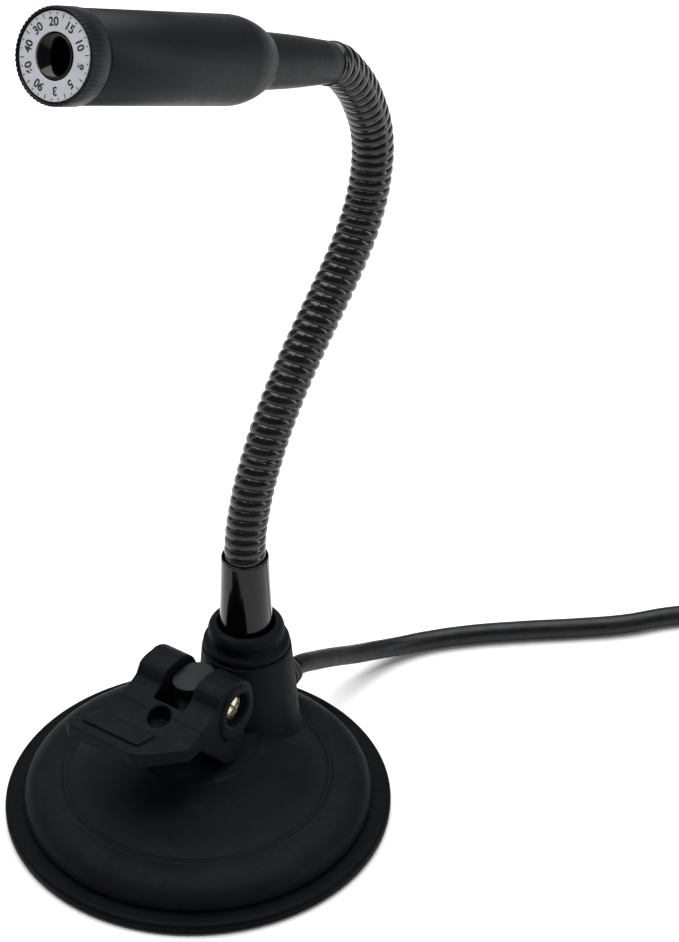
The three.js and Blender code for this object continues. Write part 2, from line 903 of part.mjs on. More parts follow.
function lensHolder() {
  const body = solidOf(turned([
    [0, holderBack],
    [holderBaseRadius, holderBack],
    [holderBaseRadius, holderBack + holderBaseHeight],
    [holderRadius, holderBack + holderBaseHeight],
    [holderRadius, holderBack + holderHeight],
    [0, holderBack + holderHeight],
  ], sidesMedium));
  const cavity = sensorSize + 2 * gap;
  return cut(
    body,
    solidOf(slab(cavity, cavity, holderBack - overcut, cavityTop)),
    solidOf(bar(barrelRadius + gap, cavityTop - overcut / 2, holderBack + holderHeight + overcut, sidesMedium)),
    ...screwHoles(holderBack - overcut, holderBack + 2),
  );
}

function holderScrew() {
  const headBack = sensorBoardBack - gap - 0.9;
  return solidOf(turned([
    [0, headBack],
    [smallHeadRadius, headBack],
    [smallHeadRadius, sensorBoardBack - gap],
    [smallScrewRadius, sensorBoardBack - gap],
    [smallScrewRadius, holderBack + 1.7],
    [0, holderBack + 1.7],
  ], sidesTiny));
}

const barrelBack = cavityTop + 0.6;
const barrelFront = barrelBack + barrelLength;
const lensPocket = lensRadius + gap;

function lensBarrel() {
  return solidOf(ring([
    [lensPocket, barrelBack],
    [barrelRadius, barrelBack],
    [barrelRadius, barrelFront],
    [lensPocket, barrelFront],
    [lensPocket, barrelFront - 3],
    [lensRadius - 0.7, barrelFront - 3],
    [lensRadius - 0.7, barrelBack + 1.9],
    [lensPocket, barrelBack + 1.9],
  ], 24));
}

// A lens with one flat face, at z = flat, and one domed face.
function lens(flat, edge, dome) {
  const rim = flat + edge;
  const top = rim + dome;
  return solidOf(turned([
    [0, flat],
    [lensRadius, flat],
    [lensRadius, rim],
    [0.72 * lensRadius, rim + 0.5 * dome],
    [0.38 * lensRadius, rim + 0.86 * dome],
    [0, top],
  ], sidesSmall));
}

function focusRing() {
  const skirt = caseRadius - caseWall - gap;
  const pocket = dialOuterRadius + gap;
  const floor = face - dialThickness - gap;
  const throat = hoodMouthRadius + hoodWall + gap;
  const rim = face + frontLip;
  return solidOf(ring([
    [skirt - skirtWall, frontRingBack - skirtLength],
    [skirt, frontRingBack - skirtLength],
    [skirt, frontRingBack],
    [frontRingRadius, frontRingBack],
    [frontRingRadius, rim - 0.3],
    [caseRadius - 0.15, rim],
    [pocket, rim],
    [pocket, floor],
    [throat, floor],
    [throat, frontRingBack + 0.8],
    [skirt - skirtWall, frontRingBack + 0.8],
  ], 40));
}

function dialRing() {
  return solidOf(ring([
    [dialInnerRadius, face - dialThickness],
    [dialOuterRadius, face - dialThickness],
    [dialOuterRadius, face],
    [dialInnerRadius, face],
  ], 40));
}

function lensHood() {
  const back = face - hoodDepth;
  return solidOf(ring([
    [hoodThroatRadius, back],
    [hoodThroatRadius + 1.1, back],
    [hoodMouthRadius + hoodWall, face - 1],
    [hoodMouthRadius + hoodWall, face - 0.1],
    [hoodMouthRadius, face - 0.1],
  ], 24));
}

// ---- Cable ----

function cable() {
  const curve = new THREE.CatmullRomCurve3(
    cablePoints.map((point) => new THREE.Vector3(...point)),
    false,
    'centripetal',
  );
  return solidOf(sweep(curve, cableRadius, 10, 18));
}

const coilOuter = coilTurnOuter + cableRadius + 0.1;
const coilInner = coilTurnInner - cableRadius - 0.1;
const coilTop = coilLayers * 2 * cableRadius + gap;
const tieTop = coilTop + gap + tieThickness + 0.1;

// A closed strap round the coil's section, in the coil's frame and at tieAngle.
function tieSolid(grow) {
  const width = coilOuter - coilInner + 2 * (gap + tieThickness + grow);
  const height = tieTop + 2 * grow - 0.1;
  const shape = roundedRectangle(width, height, 1.6);
  return { shape, width, height };
}

function placedTie(geometry) {
  const middle = (coilOuter + coilInner) / 2;
  geometry.translate(0, 0, -tieWidth / 2);
  geometry.rotateX(Math.PI / 2);
  geometry.translate(middle, 0, 0.1 + (tieTop - 0.1) / 2);
  geometry.rotateZ(tieAngle);
  return solidOf(geometry);
}

function cableTie() {
  const { shape, width, height } = tieSolid(0);
  const hole = roundedRectangle(width - 2 * tieThickness, height - 2 * tieThickness, 1, new THREE.Path());
  shape.holes.push(hole);
  const strap = new THREE.ExtrudeGeometry(shape, { depth: tieWidth, bevelEnabled: false, curveSegments: 4 });
  return placedTie(strap);
}

// The bundle of turns, pressed in a little where the tie holds it.
function cableCoil() {
  const bundle = solidOf(ring([
    [coilInner, 0.1],
    [coilOuter, 0.1],
    [coilOuter, coilTop],
    [coilInner, coilTop],
  ], 48));
  const { shape, width, height } = tieSolid(gap);
  const press = tieThickness + gap;
  const hole = roundedRectangle(width - 2 * press - 2 * gap, height - 2 * press - 2 * gap, 0.6, new THREE.Path());
  shape.holes.push(hole);
  const groove = new THREE.ExtrudeGeometry(shape, {
    depth: tieWidth + 2 * gap,
    bevelEnabled: false,
    curveSegments: 4,
  });
  return bundle.subtract(placedTie(groove.translate(0, 0, -gap)));
}

// The plug, along Z from the tip of its strain relief.
function plugRelief() {
  return solidOf(turned([
    [0, 0],
    [reliefTipRadius, 0],
    [reliefFootRadius, reliefLength],
    [0, reliefLength],
  ], sidesSmall));
}

const gripBack = reliefLength + gap;
const gripFront = gripBack + plugGripLength;
const shellBack = gripFront + gap;

function plugGrip() {
  return solidOf(prismZ(roundedRectangle(plugWidth, plugThickness, plugCorner), gripBack, gripFront, 4));
}

function plugShell() {
  return cut(
    solidOf(slab(shellWidth, shellHeight, shellBack, shellBack + shellLength)),
    solidOf(slab(
      shellWidth - 2 * shellWall,
      shellHeight - 2 * shellWall,
      shellBack + 1,
      shellBack + shellLength + overcut,
    )),
  );
}

function plugTongue() {
  const width = shellWidth - 2 * shellWall - 2 * gap;
  const lift = -shellHeight / 2 + shellWall + gap + tongueThickness / 2;
  return solidOf(slab(width, tongueThickness, shellBack + 1 + gap, shellBack + shellLength - gap, 0, lift));
}

// ---- Assembly ----

function at(x, y, z, ...meshes) {
  const group = new THREE.Group();
  group.position.set(x, y, z);
  group.add(...meshes);
  return group;
}

function baseGroup() {
  return at(
    0, 0, 0,
    piece('suction_cup', suctionCup(), finishes.rubber),
    piece('cup_core', cupCore(), finishes.rubber),
    piece('base_cover', baseCover(), finishes.hardPlastic),
  );
}

function leverGroup() {
  const group = at(
    0, 0, 0,
    piece('pull_stem', pullStem(), finishes.hardPlastic),
    piece('lever', lever(), finishes.hardPlastic),
    piece('pivot_screw', pivotScrew(), finishes.steel),
    piece('pivot_nut', pivotNut(), finishes.steel),
  );
  group.rotation.z = leverYaw;
  return group;
}

function hubGroup() {
  return at(
    0, hubY, 0,
    piece('collar', collar(), finishes.hardPlastic),
    piece('lower_ferrule', lowerFerrule(), finishes.glossPlastic),
    piece('neck_stud', neckStud(), finishes.steel),
    piece('neck_washer', neckWasher(), finishes.steel),
    piece('neck_nut', neckNut(), finishes.brass),
  );
}

function cableGroup() {
  return at(
    0, 0, 0,
    piece('cable_grommet', cableGrommet(), finishes.rubber),
    piece('inner_lead', innerLead(), finishes.cable),
    piece('cable', cable(), finishes.cable),
    at(
      coilX, coilY, 0,
      piece('cable_coil', cableCoil(), finishes.cable),
      piece('cable_tie', cableTie(), finishes.rubber),
      plugGroup(),
    ),
  );
}

// The plug lies beside the coil, in line with the last turn where it leaves.
function plugGroup() {
  const x = coilTurnOuter * Math.cos(coilEndAngle) + coilEndRun * Math.sin(coilEndAngle);
  const y = coilTurnOuter * Math.sin(coilEndAngle) - coilEndRun * Math.cos(coilEndAngle);
  const group = at(
    x, y, plugThickness / 2 + 0.1,
    piece('plug_relief', plugRelief(), finishes.rubber),
    piece('plug_grip', plugGrip(), finishes.hardPlastic),
    piece('plug_shell', plugShell(), finishes.steel),
    piece('plug_tongue', plugTongue(), finishes.socket),
  );
  group.rotation.order = 'ZXY';
  group.rotation.z = coilEndAngle;
  group.rotation.x = Math.PI / 2;
  return group;
}

function neckGroup() {
  const group = new THREE.Group();
  for (let number = 0; number <= jointIndexes.length; number += 1) {
    let body = neckLength(number);
    if (number === 0) {
      const mouth = ferruleTop + gap;
      const below = bar(2 * neckRadius, mouth - neckRadius, mouth, neckSides).translate(0, hubY, 0);
      body = body.subtract(solidOf(below)).add(solidOf(spigot(mouth, -1).translate(0, hubY, 0)));
    }
    if (number === jointIndexes.length) {
      const beyond = inHeadPlace(bar(2 * neckRadius, -gap, neckRadius, neckSides));
      body = body.subtract(solidOf(beyond)).add(solidOf(inHeadPlace(spigot(-gap, 1))));
    }
    group.add(piece(`neck_${number + 1}`, body, finishes.hose));
  }
  return group;
}

const headTilt = Math.PI / 2 - headPitch;
const headMouth = new THREE.Vector3(0, ...neckPoints[lastVisible]).add(
  new THREE.Vector3(0, -Math.cos(headPitch), Math.sin(headPitch)).multiplyScalar(gap),
);

function inHeadPlace(geometry) {
  geometry.rotateX(headTilt);
  return geometry.translate(headMouth.x, headMouth.y, headMouth.z);
}

function headGroup() {
  const screwLeft = piece('holder_screw_left', holderScrew(), finishes.steel);
  screwLeft.position.x = -smallScrewX;
  const screwRight = piece('holder_screw_right', holderScrew(), finishes.steel);
  screwRight.position.x = smallScrewX;
  const group = at(
    headMouth.x, headMouth.y, headMouth.z,
    piece('upper_ferrule', upperFerrule(), finishes.softCoat),
    piece('camera_case', cameraCase(), finishes.softCoat),
    piece('head_nut', headNut(), finishes.brass),
    piece('main_board', mainBoard(), finishes.board),
    piece('cable_socket', onBoard(7.6, 3.2, 0.5, 4), finishes.socket),
    piece('controller_chip', onBoard(7, 1.1, 5.6, 7), finishes.chip),
    piece('crystal', onBoard(3.4, 1.4, 13.6, 4.6), finishes.steel),
    piece('board_header', boardHeader(), finishes.chip),
    piece('sensor_board', sensorBoard(), finishes.board),
    piece('image_sensor', imageSensor(), finishes.chip),
    piece('infrared_filter', infraredFilter(), finishes.glass),
    piece('lens_holder', lensHolder(), finishes.hardPlastic),
    screwLeft,
    screwRight,
    piece('lens_barrel', lensBarrel(), finishes.hardPlastic),
    piece('rear_lens', lens(barrelBack + 0.3, 0.8, 0.4), finishes.glass),
    piece('front_lens', lens(barrelFront - 2.7, 1.4, 0.8), finishes.glass),
    piece('focus_ring', focusRing(), finishes.softCoat),
    piece('dial_ring', dialRing(), finishes.dial),
    piece('lens_hood', lensHood(), finishes.glossPlastic),
  );
  group.rotation.x = headTilt;
  return group;
}

const camera = new THREE.Group();
camera.add(baseGroup(), leverGroup(), hubGroup(), cableGroup(), neckGroup(), headGroup());

export default camera;
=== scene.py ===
"""A small tubular USB camera on a gooseneck, standing on a rubber suction cup that a cam lever locks.

Sizes are in millimetres until they reach a mesh, which is in metres, in the frame of the CAD model.
"""

import json
import math

import bmesh
import bpy
from mathutils import Matrix, Quaternion, Vector


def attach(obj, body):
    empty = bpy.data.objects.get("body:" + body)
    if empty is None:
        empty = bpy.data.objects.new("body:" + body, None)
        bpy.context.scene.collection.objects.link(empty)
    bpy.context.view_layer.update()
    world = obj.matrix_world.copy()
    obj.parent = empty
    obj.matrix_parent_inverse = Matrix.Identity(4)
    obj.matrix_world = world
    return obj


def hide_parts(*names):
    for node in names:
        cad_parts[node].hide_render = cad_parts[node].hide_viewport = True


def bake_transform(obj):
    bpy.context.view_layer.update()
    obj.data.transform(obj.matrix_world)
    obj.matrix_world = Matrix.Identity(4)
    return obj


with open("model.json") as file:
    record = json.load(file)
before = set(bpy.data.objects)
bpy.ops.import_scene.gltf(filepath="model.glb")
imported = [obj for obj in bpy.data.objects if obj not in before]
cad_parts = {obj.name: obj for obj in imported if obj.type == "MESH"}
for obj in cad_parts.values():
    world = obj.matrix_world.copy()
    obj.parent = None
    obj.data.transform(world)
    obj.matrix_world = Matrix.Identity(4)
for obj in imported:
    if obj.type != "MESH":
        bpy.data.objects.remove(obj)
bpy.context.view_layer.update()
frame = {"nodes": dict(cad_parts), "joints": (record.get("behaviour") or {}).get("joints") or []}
MM = 0.001

# ---- Viewpoint, floor and light ----
# A long lens looks down on the base from its right front. The floor is a plain pale sheet, and large soft boxes
# light it from above and from both sides.

eye = Vector((330.85, -376.07, 445.99)) * MM
aim = Vector((6.4, 39.2, 65.4)) * MM
camera_roll = Quaternion((0, 0, 1), math.radians(0.14))

camera = bpy.data.objects.new("viewpoint", bpy.data.cameras.new("viewpoint"))
camera.data.lens = 122.3
camera.data.sensor_width = 36
camera.data.clip_start = 0.01
camera.location = eye
camera.rotation_mode = "QUATERNION"
camera.rotation_quaternion = (aim - eye).to_track_quat("-Z", "Y") @ camera_roll
bpy.context.scene.collection.objects.link(camera)
bpy.context.scene.camera = camera
bpy.context.scene.view_settings.view_transform = "Standard"


def soft_box(name, place, width, height, power):
    """A rectangular lamp that faces the middle of the object."""
    lamp = bpy.data.lights.new(name, "AREA")
    lamp.shape = "RECTANGLE"
    lamp.size = width
    lamp.size_y = height
    lamp.energy = power
    box = bpy.data.objects.new(name, lamp)
    box.location = place
    box.rotation_mode = "QUATERNION"
    box.rotation_quaternion = (Vector((0, 0.02, 0.08)) - Vector(place)).to_track_quat("-Z", "Y")
    bpy.context.scene.collection.objects.link(box)


soft_box("overhead_box", (-0.2, 0.2, 1.1), 1.3, 1.3, 26)
soft_box("left_box", (-0.75, -0.35, 0.4), 0.22, 0.9, 1.0)
soft_box("right_box", (0.8, 0.45, 0.35), 0.2, 0.8, 3)

world = bpy.data.worlds.new("studio")
world.use_nodes = True
world.node_tree.nodes["Background"].inputs["Color"].default_value = (1.0, 0.995, 0.99, 1)
world.node_tree.nodes["Background"].inputs["Strength"].default_value = 0.16
bpy.context.scene.world = world


def surface(
    name,
    colour,
    roughness,
    grain,
    relief,
    metallic=0.0,
    coat=0.0,
    spread=0.06,
    mottle=0.12,
    edge_highlight=0.0,
    shine=0.5,
):
    """A surface with a grain of a real size and height in mm, uneven gloss, faint mottling and a painted highlight
    that makes its sharp edges paler.
    """
    material = bpy.data.materials.new(name)
    material.use_nodes = True
    nodes = material.node_tree.nodes
    links = material.node_tree.links
    shader = nodes["Principled BSDF"]
    shader.inputs["Metallic"].default_value = metallic
    shader.inputs["Coat Weight"].default_value = coat
    shader.inputs["Coat Roughness"].default_value = 0.06
    shader.inputs["Specular IOR Level"].default_value = shine
    place = nodes.new("ShaderNodeTexCoord")

    def noise(size, detail):
        texture = nodes.new("ShaderNodeTexNoise")
        texture.inputs["Scale"].default_value = 1 / (size * MM)
        texture.inputs["Detail"].default_value = detail
        links.new(place.outputs["Object"], texture.inputs["Vector"])
        return texture.outputs["Fac"]

    shade = nodes.new("ShaderNodeValToRGB")
    shade.color_ramp.elements[0].position = 0.3
    shade.color_ramp.elements[1].position = 0.7
    shade.color_ramp.elements[0].color = (*[c * (1 - mottle) for c in colour], 1)
    shade.color_ramp.elements[1].color = (*[c * (1 + mottle) for c in colour], 1)
    links.new(noise(9 * grain + 2, 6), shade.inputs["Fac"])
    tone = shade.outputs["Color"]
    # Painted highlight: sharp convex edges, picked out by pointiness, are mixed towards a paler colour that stands in
    # for the light they catch.
    if edge_highlight:
        edge = nodes.new("ShaderNodeMapRange")
        edge.inputs["From Min"].default_value = 0.51
        edge.inputs["From Max"].default_value = 0.6
        edge.inputs["To Max"].default_value = edge_highlight
        geometry = nodes.new("ShaderNodeNewGeometry")
        links.new(geometry.outputs["Pointiness"], edge.inputs["Value"])
        painted_highlight = nodes.new("ShaderNodeMix")
        painted_highlight.data_type = "RGBA"
        painted_highlight.inputs["B"].default_value = (*[min(1, 0.012 + 2.0 * c) for c in colour], 1)
        links.new(edge.outputs["Result"], painted_highlight.inputs["Factor"])
        links.new(tone, painted_highlight.inputs["A"])
        tone = painted_highlight.outputs["Result"]
    links.new(tone, shader.inputs["Base Color"])

    gloss = nodes.new("ShaderNodeMapRange")
    gloss.inputs["From Min"].default_value = 0.3
    gloss.inputs["From Max"].default_value = 0.7
    gloss.inputs["To Min"].default_value = roughness - spread
    gloss.inputs["To Max"].default_value = roughness + spread
    links.new(noise(4 * grain + 0.5, 4), gloss.inputs["Value"])
    links.new(gloss.outputs["Result"], shader.inputs["Roughness"])

    bump = nodes.new("ShaderNodeBump")
    bump.inputs["Strength"].default_value = 1.0
    bump.inputs["Distance"].default_value = relief * MM
    links.new(noise(grain, 3), bump.inputs["Height"])
    links.new(bump.outputs["Normal"], shader.inputs["Normal"])
    return material


floor_mesh = bmesh.new()
bmesh.ops.create_grid(floor_mesh, x_segments=1, y_segments=1, size=3)
floor_data = bpy.data.meshes.new("floor")
floor_mesh.to_mesh(floor_data)
floor_mesh.free()
floor = bpy.data.objects.new("floor", floor_data)
floor.location = (0, 0, -0.0002)
floor.data.materials.append(surface("pale_paper", (0.93, 0.92, 0.92), 0.85, 0.4, 0.004, mottle=0.01))
bpy.context.scene.collection.objects.link(floor)

# ---- Cable ----
# A thin round vinyl USB lead. It leaves the hub's rubber grommet, falls to the table and runs off to a neat coil
# of two layers, which a soft tie holds. Its outer skin is extruded and slightly glossy.

cable_radius = 2.1
cable_points = [
    (0.0, 32.2, 15.4),
    (0.0, 34.2, 14.9),
    (0.1, 39.0, 12.8),
    (0.3, 45.2, 9.9),
    (0.8, 51.6, 6.8),
    (1.9, 57.8, 4.5),
    (3.8, 63.6, 2.9),
    (6.7, 69.4, 2.2),
    (12.8, 77.2, 2.1),
    (21.6, 86.1, 2.1),
    (30.2, 94.1, 2.1),
    (38.0, 102.0, 2.1),
    (44.0, 110.0, 2.1),
    (48.7, 114.8, 2.1),
    (56.2, 119.6, 2.1),
    (64.7, 122.3, 2.1),
    (70.6, 122.8, 2.1),
    (79.8, 122.9, 2.1),
    (88.5, 122.9, 2.1),
]
coil_middle = Vector((96.5, 95.0, 0))
turn_outer = 27.9
turn_inner = 12.9
turn_pitch = 2 * cable_radius
coil_entry = math.radians(90)
coil_exit = math.radians(-7)
rise_turns = 0.25
tie_angle = math.radians(-70)
tie_lift = 0.8
points_per_turn = 24


def on_coil(radius, angle, height):
    """A point of a turn. The turns rest on the tie's strap where it passes under them."""
    off = math.remainder(angle - tie_angle, 2 * math.pi) * radius
    lift = tie_lift * math.exp(-((off / 7) ** 2))
    return coil_middle + Vector((radius * math.cos(angle), radius * math.sin(angle), height + lift))


def coil_points():
    """Clockwise from above: inwards along the table, up one layer, then outwards on top to the exit angle."""
    inward = (turn_outer - turn_inner) / turn_pitch
    swept = math.remainder(coil_entry - coil_exit, 2 * math.pi) / (2 * math.pi) + 7
    outward = swept - inward - rise_turns
    start_radius = turn_outer - outward * turn_pitch
    points = []
    for i in range(round(swept * points_per_turn) + 1):
        turns = min(i / points_per_turn, swept)
        angle = coil_entry - 2 * math.pi * turns
        if turns < inward:
            points.append(on_coil(turn_outer - turns * turn_pitch, angle, cable_radius))
        elif turns < inward + rise_turns:
            share = (turns - inward) / rise_turns
            ease = share * share * (3 - 2 * share)
            radius = turn_inner + ease * (start_radius - turn_inner)
            points.append(on_coil(radius, angle, cable_radius * (1 + 2 * ease)))
        else:
            radius = start_radius + (turns - inward - rise_turns) * turn_pitch
            points.append(on_coil(radius, angle, 3 * cable_radius))
    return points


plug_run = Vector((math.sin(coil_exit), -math.cos(coil_exit), 0))
plug_height = 4.0
end_run = 17.5
leaving = coil_middle + turn_outer * Vector((math.cos(coil_exit), math.sin(coil_exit), 0))
last_stretch = [(5, 6.3), (9, 6.1), (12.5, 5.3), (15.5, 4.4), (end_run + 0.2, plug_height)]

route = [Vector(p) for p in cable_points] + coil_points()
route += [leaving + run * plug_run + Vector((0, 0, height)) for run, height in last_stretch]


def curve_through(name, points, radius):
    """A smooth round cord through points given in mm."""
    data = bpy.data.curves.new(name, "CURVE")
    data.dimensions = "3D"
    data.bevel_depth = radius * MM
    data.bevel_resolution = 5
    data.resolution_u = 5
    data.use_fill_caps = True
    spline = data.splines.new("BEZIER")
    spline.bezier_points.add(len(points) - 1)
    for knot, point in zip(spline.bezier_points, points):
        knot.co = point * MM
        knot.handle_left_type = "AUTO"
        knot.handle_right_type = "AUTO"
    piece = bpy.data.objects.new(name, data)
    bpy.context.scene.collection.objects.link(piece)
    return piece


black_vinyl = surface(
    "black_vinyl", (0.004, 0.0046, 0.0056), 0.42, 0.25, 0.006, spread=0.1, mottle=0.2, shine=0.25
)
lead = curve_through("usb_lead", route, cable_radius)
lead.data.materials.append(black_vinyl)
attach(lead, "base")
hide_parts("cable", "cable_coil")


def arc(r, z, reach_r, reach_z, start, end, steps=8):
    """The points of a round stretch of an outline, from its centre, its two reaches and its angles in degrees."""
    angles = [math.radians(start + (end - start) * i / steps) for i in range(steps + 1)]
    return [(r + reach_r * math.cos(a), z + reach_z * math.sin(a)) for a in angles]


def spun(outline, steps=96, place=Matrix()):
    """A turned body: its outline of radii and heights goes once round Z, and is then put in its place."""
    body = bmesh.new()
    corners = [body.verts.new((r * MM, 0, z * MM)) for r, z in outline]
    sides = [body.edges.new(pair) for pair in zip(corners, corners[1:])]
    bmesh.ops.spin(
        body,
        geom=corners + sides,
        cent=(0, 0, 0),
        axis=(0, 0, 1),
        dvec=(0, 0, 0),
        angle=2 * math.pi,
        steps=steps,
        use_merge=True,
    )
    bmesh.ops.remove_doubles(body, verts=body.verts, dist=1e-6)
    bmesh.ops.recalc_face_normals(body, faces=body.faces)
    bmesh.ops.transform(body, matrix=place, verts=body.verts)
    return body


def ring(outline, steps=96, place=Matrix()):
    """A turned ring: its outline closes on itself."""
    return spun([*outline, outline[0]], steps, place)


def prism(outline, depth, place=Matrix()):
    """A flat outline, in mm in the XY plane, drawn out along Z by its depth and then put in its place."""
    body = bmesh.new()
    face = body.faces.new([body.verts.new((x * MM, y * MM, 0)) for x, y in outline])
    grown = bmesh.ops.extrude_face_region(body, geom=[face])["geom"]
    top = [v for v in grown if isinstance(v, bmesh.types.BMVert)]
    bmesh.ops.translate(body, vec=(0, 0, depth * MM), verts=top)
    bmesh.ops.recalc_face_normals(body, faces=body.faces)
    bmesh.ops.transform(body, matrix=place, verts=body.verts)
    return body


def moved(x, y, z):
    """A shift given in mm."""
    return Matrix.Translation(Vector((x, y, z)) * MM)


def finished(body, name, rides_on, slot, material, *stands_for):
    """Makes a shape a smooth piece of the object, on its body and in place of its CAD nodes."""
    bmesh.ops.recalc_face_normals(body, faces=body.faces)
    data = bpy.data.meshes.new(name)
    body.to_mesh(data)
    body.free()
    data.polygons.foreach_set("use_smooth", [True] * len(data.polygons))
    data.materials.append(material)
    piece = bpy.data.objects.new(name, data)
    bpy.context.scene.collection.objects.link(piece)
    if rides_on:
        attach(piece, rides_on)
    if stands_for:
        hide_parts(*stands_for)
    return piece


def eased(piece, width, segments=3, angle=32):
    """Rounds a piece's sharp edges, as a mould or a file leaves them."""
    edge = piece.modifiers.new("eased_edges", "BEVEL")
    edge.width = width * MM
    edge.segments = segments
    edge.limit_method = "ANGLE"
    edge.angle_limit = math.radians(angle)
    edge.harden_normals = True
    return piece


# ---- Tie round the coil ----
# A soft black strap with a rounded section, pulled round all the turns. It is moulded in one piece.

tie_width = 3.5
tie_thickness = 0.7
tie_inner = turn_inner - cable_radius - 0.4
tie_outer = turn_outer + cable_radius + 0.4
tie_low = 0.75
tie_high = 4 * cable_radius + tie_lift + 0.15


def loop_outline(left, right, low, high, corner):
    """A rectangle with round corners, going once round."""
    return [
        *arc(right - corner, high - corner, corner, corner, 0, 90, 5),
        *arc(left + corner, high - corner, corner, corner, 90, 180, 5),
        *arc(left + corner, low + corner, corner, corner, 180, 270, 5),
        *arc(right - corner, low + corner, corner, corner, 270, 360, 5),
    ]


def strap():
    """The closed band, as a thin strip round the turns that is then given its thickness."""
    band = bmesh.new()
    outline = loop_outline(tie_inner, tie_outer, tie_low, tie_high, 1.2)
    corners = [band.verts.new((x * MM, -tie_width / 2 * MM, z * MM)) for x, z in outline]
    sides = [band.edges.new((corners[i - 1], corners[i])) for i in range(len(corners))]
    grown = bmesh.ops.extrude_edge_only(band, edges=sides)["geom"]
    far = [v for v in grown if isinstance(v, bmesh.types.BMVert)]
    bmesh.ops.translate(band, vec=(0, tie_width * MM, 0), verts=far)
    bmesh.ops.remove_doubles(band, verts=band.verts, dist=1e-6)
    bmesh.ops.recalc_face_normals(band, faces=band.faces)
    bmesh.ops.solidify(band, geom=band.faces, thickness=-tie_thickness * MM)
    turn = Matrix.Translation(coil_middle * MM) @ Matrix.Rotation(tie_angle, 4, "Z")
    bmesh.ops.transform(band, matrix=turn, verts=band.verts)
    return band


# Its sharp edges get the painted highlight.
soft_rubber = surface("soft_rubber", (0.005, 0.005, 0.0054), 0.6, 0.2, 0.008, mottle=0.2, edge_highlight=0.3)
tie = finished(strap(), "coil_tie", "base", "soft_rubber", soft_rubber, "cable_tie")
eased(tie, 0.25)

# ---- Plug ----
# A USB plug: a tapered strain relief with cut rings, a moulded grip with ribs on both faces, a folded steel shell
# with two latch windows on each face, and the pale tongue inside it.

relief_length = 12
grip_length = 22
grip_width = 16
grip_height = 7.8
grip_start = relief_length + 0.3
shell_start = grip_start + grip_length + 0.1
shell_length = 19
plug_place = (
    Matrix.Translation((leaving + end_run * plug_run + Vector((0, 0, plug_height))) * MM)
    @ Matrix.Rotation(coil_exit, 4, "Z")
    @ Matrix.Rotation(math.radians(90), 4, "X")
)


def combined(body, operation, *others):
    """Joins or cuts one closed shape with others, which are used up."""
    shapes = []
    for number, shape in enumerate([body, *others]):
        data = bpy.data.meshes.new("workpiece")
        shape.to_mesh(data)
        shape.free()
        shapes.append(bpy.data.objects.new("workpiece", data))
        bpy.context.scene.collection.objects.link(shapes[number])
    for other in shapes[1:]:
        step = shapes[0].modifiers.new("step", "BOOLEAN")
        step.operation = operation
        step.solver = "EXACT"
        step.object = other
    bpy.context.view_layer.update()
    depsgraph = bpy.context.evaluated_depsgraph_get()
    result = bmesh.new()
    result.from_mesh(shapes[0].evaluated_get(depsgraph).to_mesh())
    for shape in shapes:
        bpy.data.objects.remove(shape)
    return result


def block(width, depth, height, place):
    """A box on its middle, in mm, put in its place."""
    body = bmesh.new()
    size = Matrix.Diagonal((width * MM, depth * MM, height * MM, 1))
    bmesh.ops.create_cube(body, size=1, matrix=place @ size)
    return body


relief_outline = [(0, 0)]
for number in range(5):
    step = 0.6 + 2.2 * number
    radius = 2.6 + 0.9 * step / relief_length
    relief_outline += [
        (radius, step),
        (radius + 0.15, step + 1.2),
        (radius - 0.35, step + 1.35),
        (radius - 0.35, step + 2),
    ]
relief_outline += [(3.5, 11.6), (3.5, relief_length), (0, relief_length)]
relief = finished(
    spun(relief_outline, 40, plug_place),
    "plug_strain_relief",
    "base",
    "soft_rubber",
    soft_rubber,
    "plug_relief",
)
eased(relief, 0.12, 2)

# Its sharp edges get the painted highlight.
grip_plastic = surface("grip_plastic", (0.005, 0.005, 0.0054), 0.5, 0.3, 0.012, mottle=0.15, edge_highlight=0.3)
half_width = grip_width / 2
half_height = grip_height / 2
grip_outline = loop_outline(-half_width, half_width, -half_height, half_height, 2.2)
grip_body = prism(grip_outline, grip_length, plug_place @ moved(0, 0, grip_start))
grooves = [
    block(10, 1, 1.1, plug_place @ moved(0, side * half_height, grip_start + 7 + 2.3 * number))
    for side in (-1, 1)
    for number in range(5)
]
grip = finished(
    combined(grip_body, "DIFFERENCE", *grooves),
    "plug_handle",
    "base",
    "cover_plastic",
    grip_plastic,
    "plug_grip",
)
eased(grip, 0.35)

plug_steel = surface("plug_steel", (0.62, 0.6, 0.57), 0.3, 0.15, 0.002, metallic=1.0, spread=0.1, mottle=0.06)
shell_body = block(12, 4.5, shell_length, plug_place @ moved(0, 0, shell_start + shell_length / 2))
shell_cuts = [block(11.3, 3.8, shell_length, plug_place @ moved(0, 0, shell_start + shell_length / 2 + 1))]
shell_cuts += [
    block(2.1, 1.2, 2.1, plug_place @ moved(x, y, shell_start + 11.5)) for x in (-3, 3) for y in (-2.25, 2.25)
]
shell = finished(
    combined(shell_body, "DIFFERENCE", *shell_cuts),
    "plug_steel_shell",
    "base",
    "steel",
    plug_steel,
    "plug_shell",
)
eased(shell, 0.12, 2)

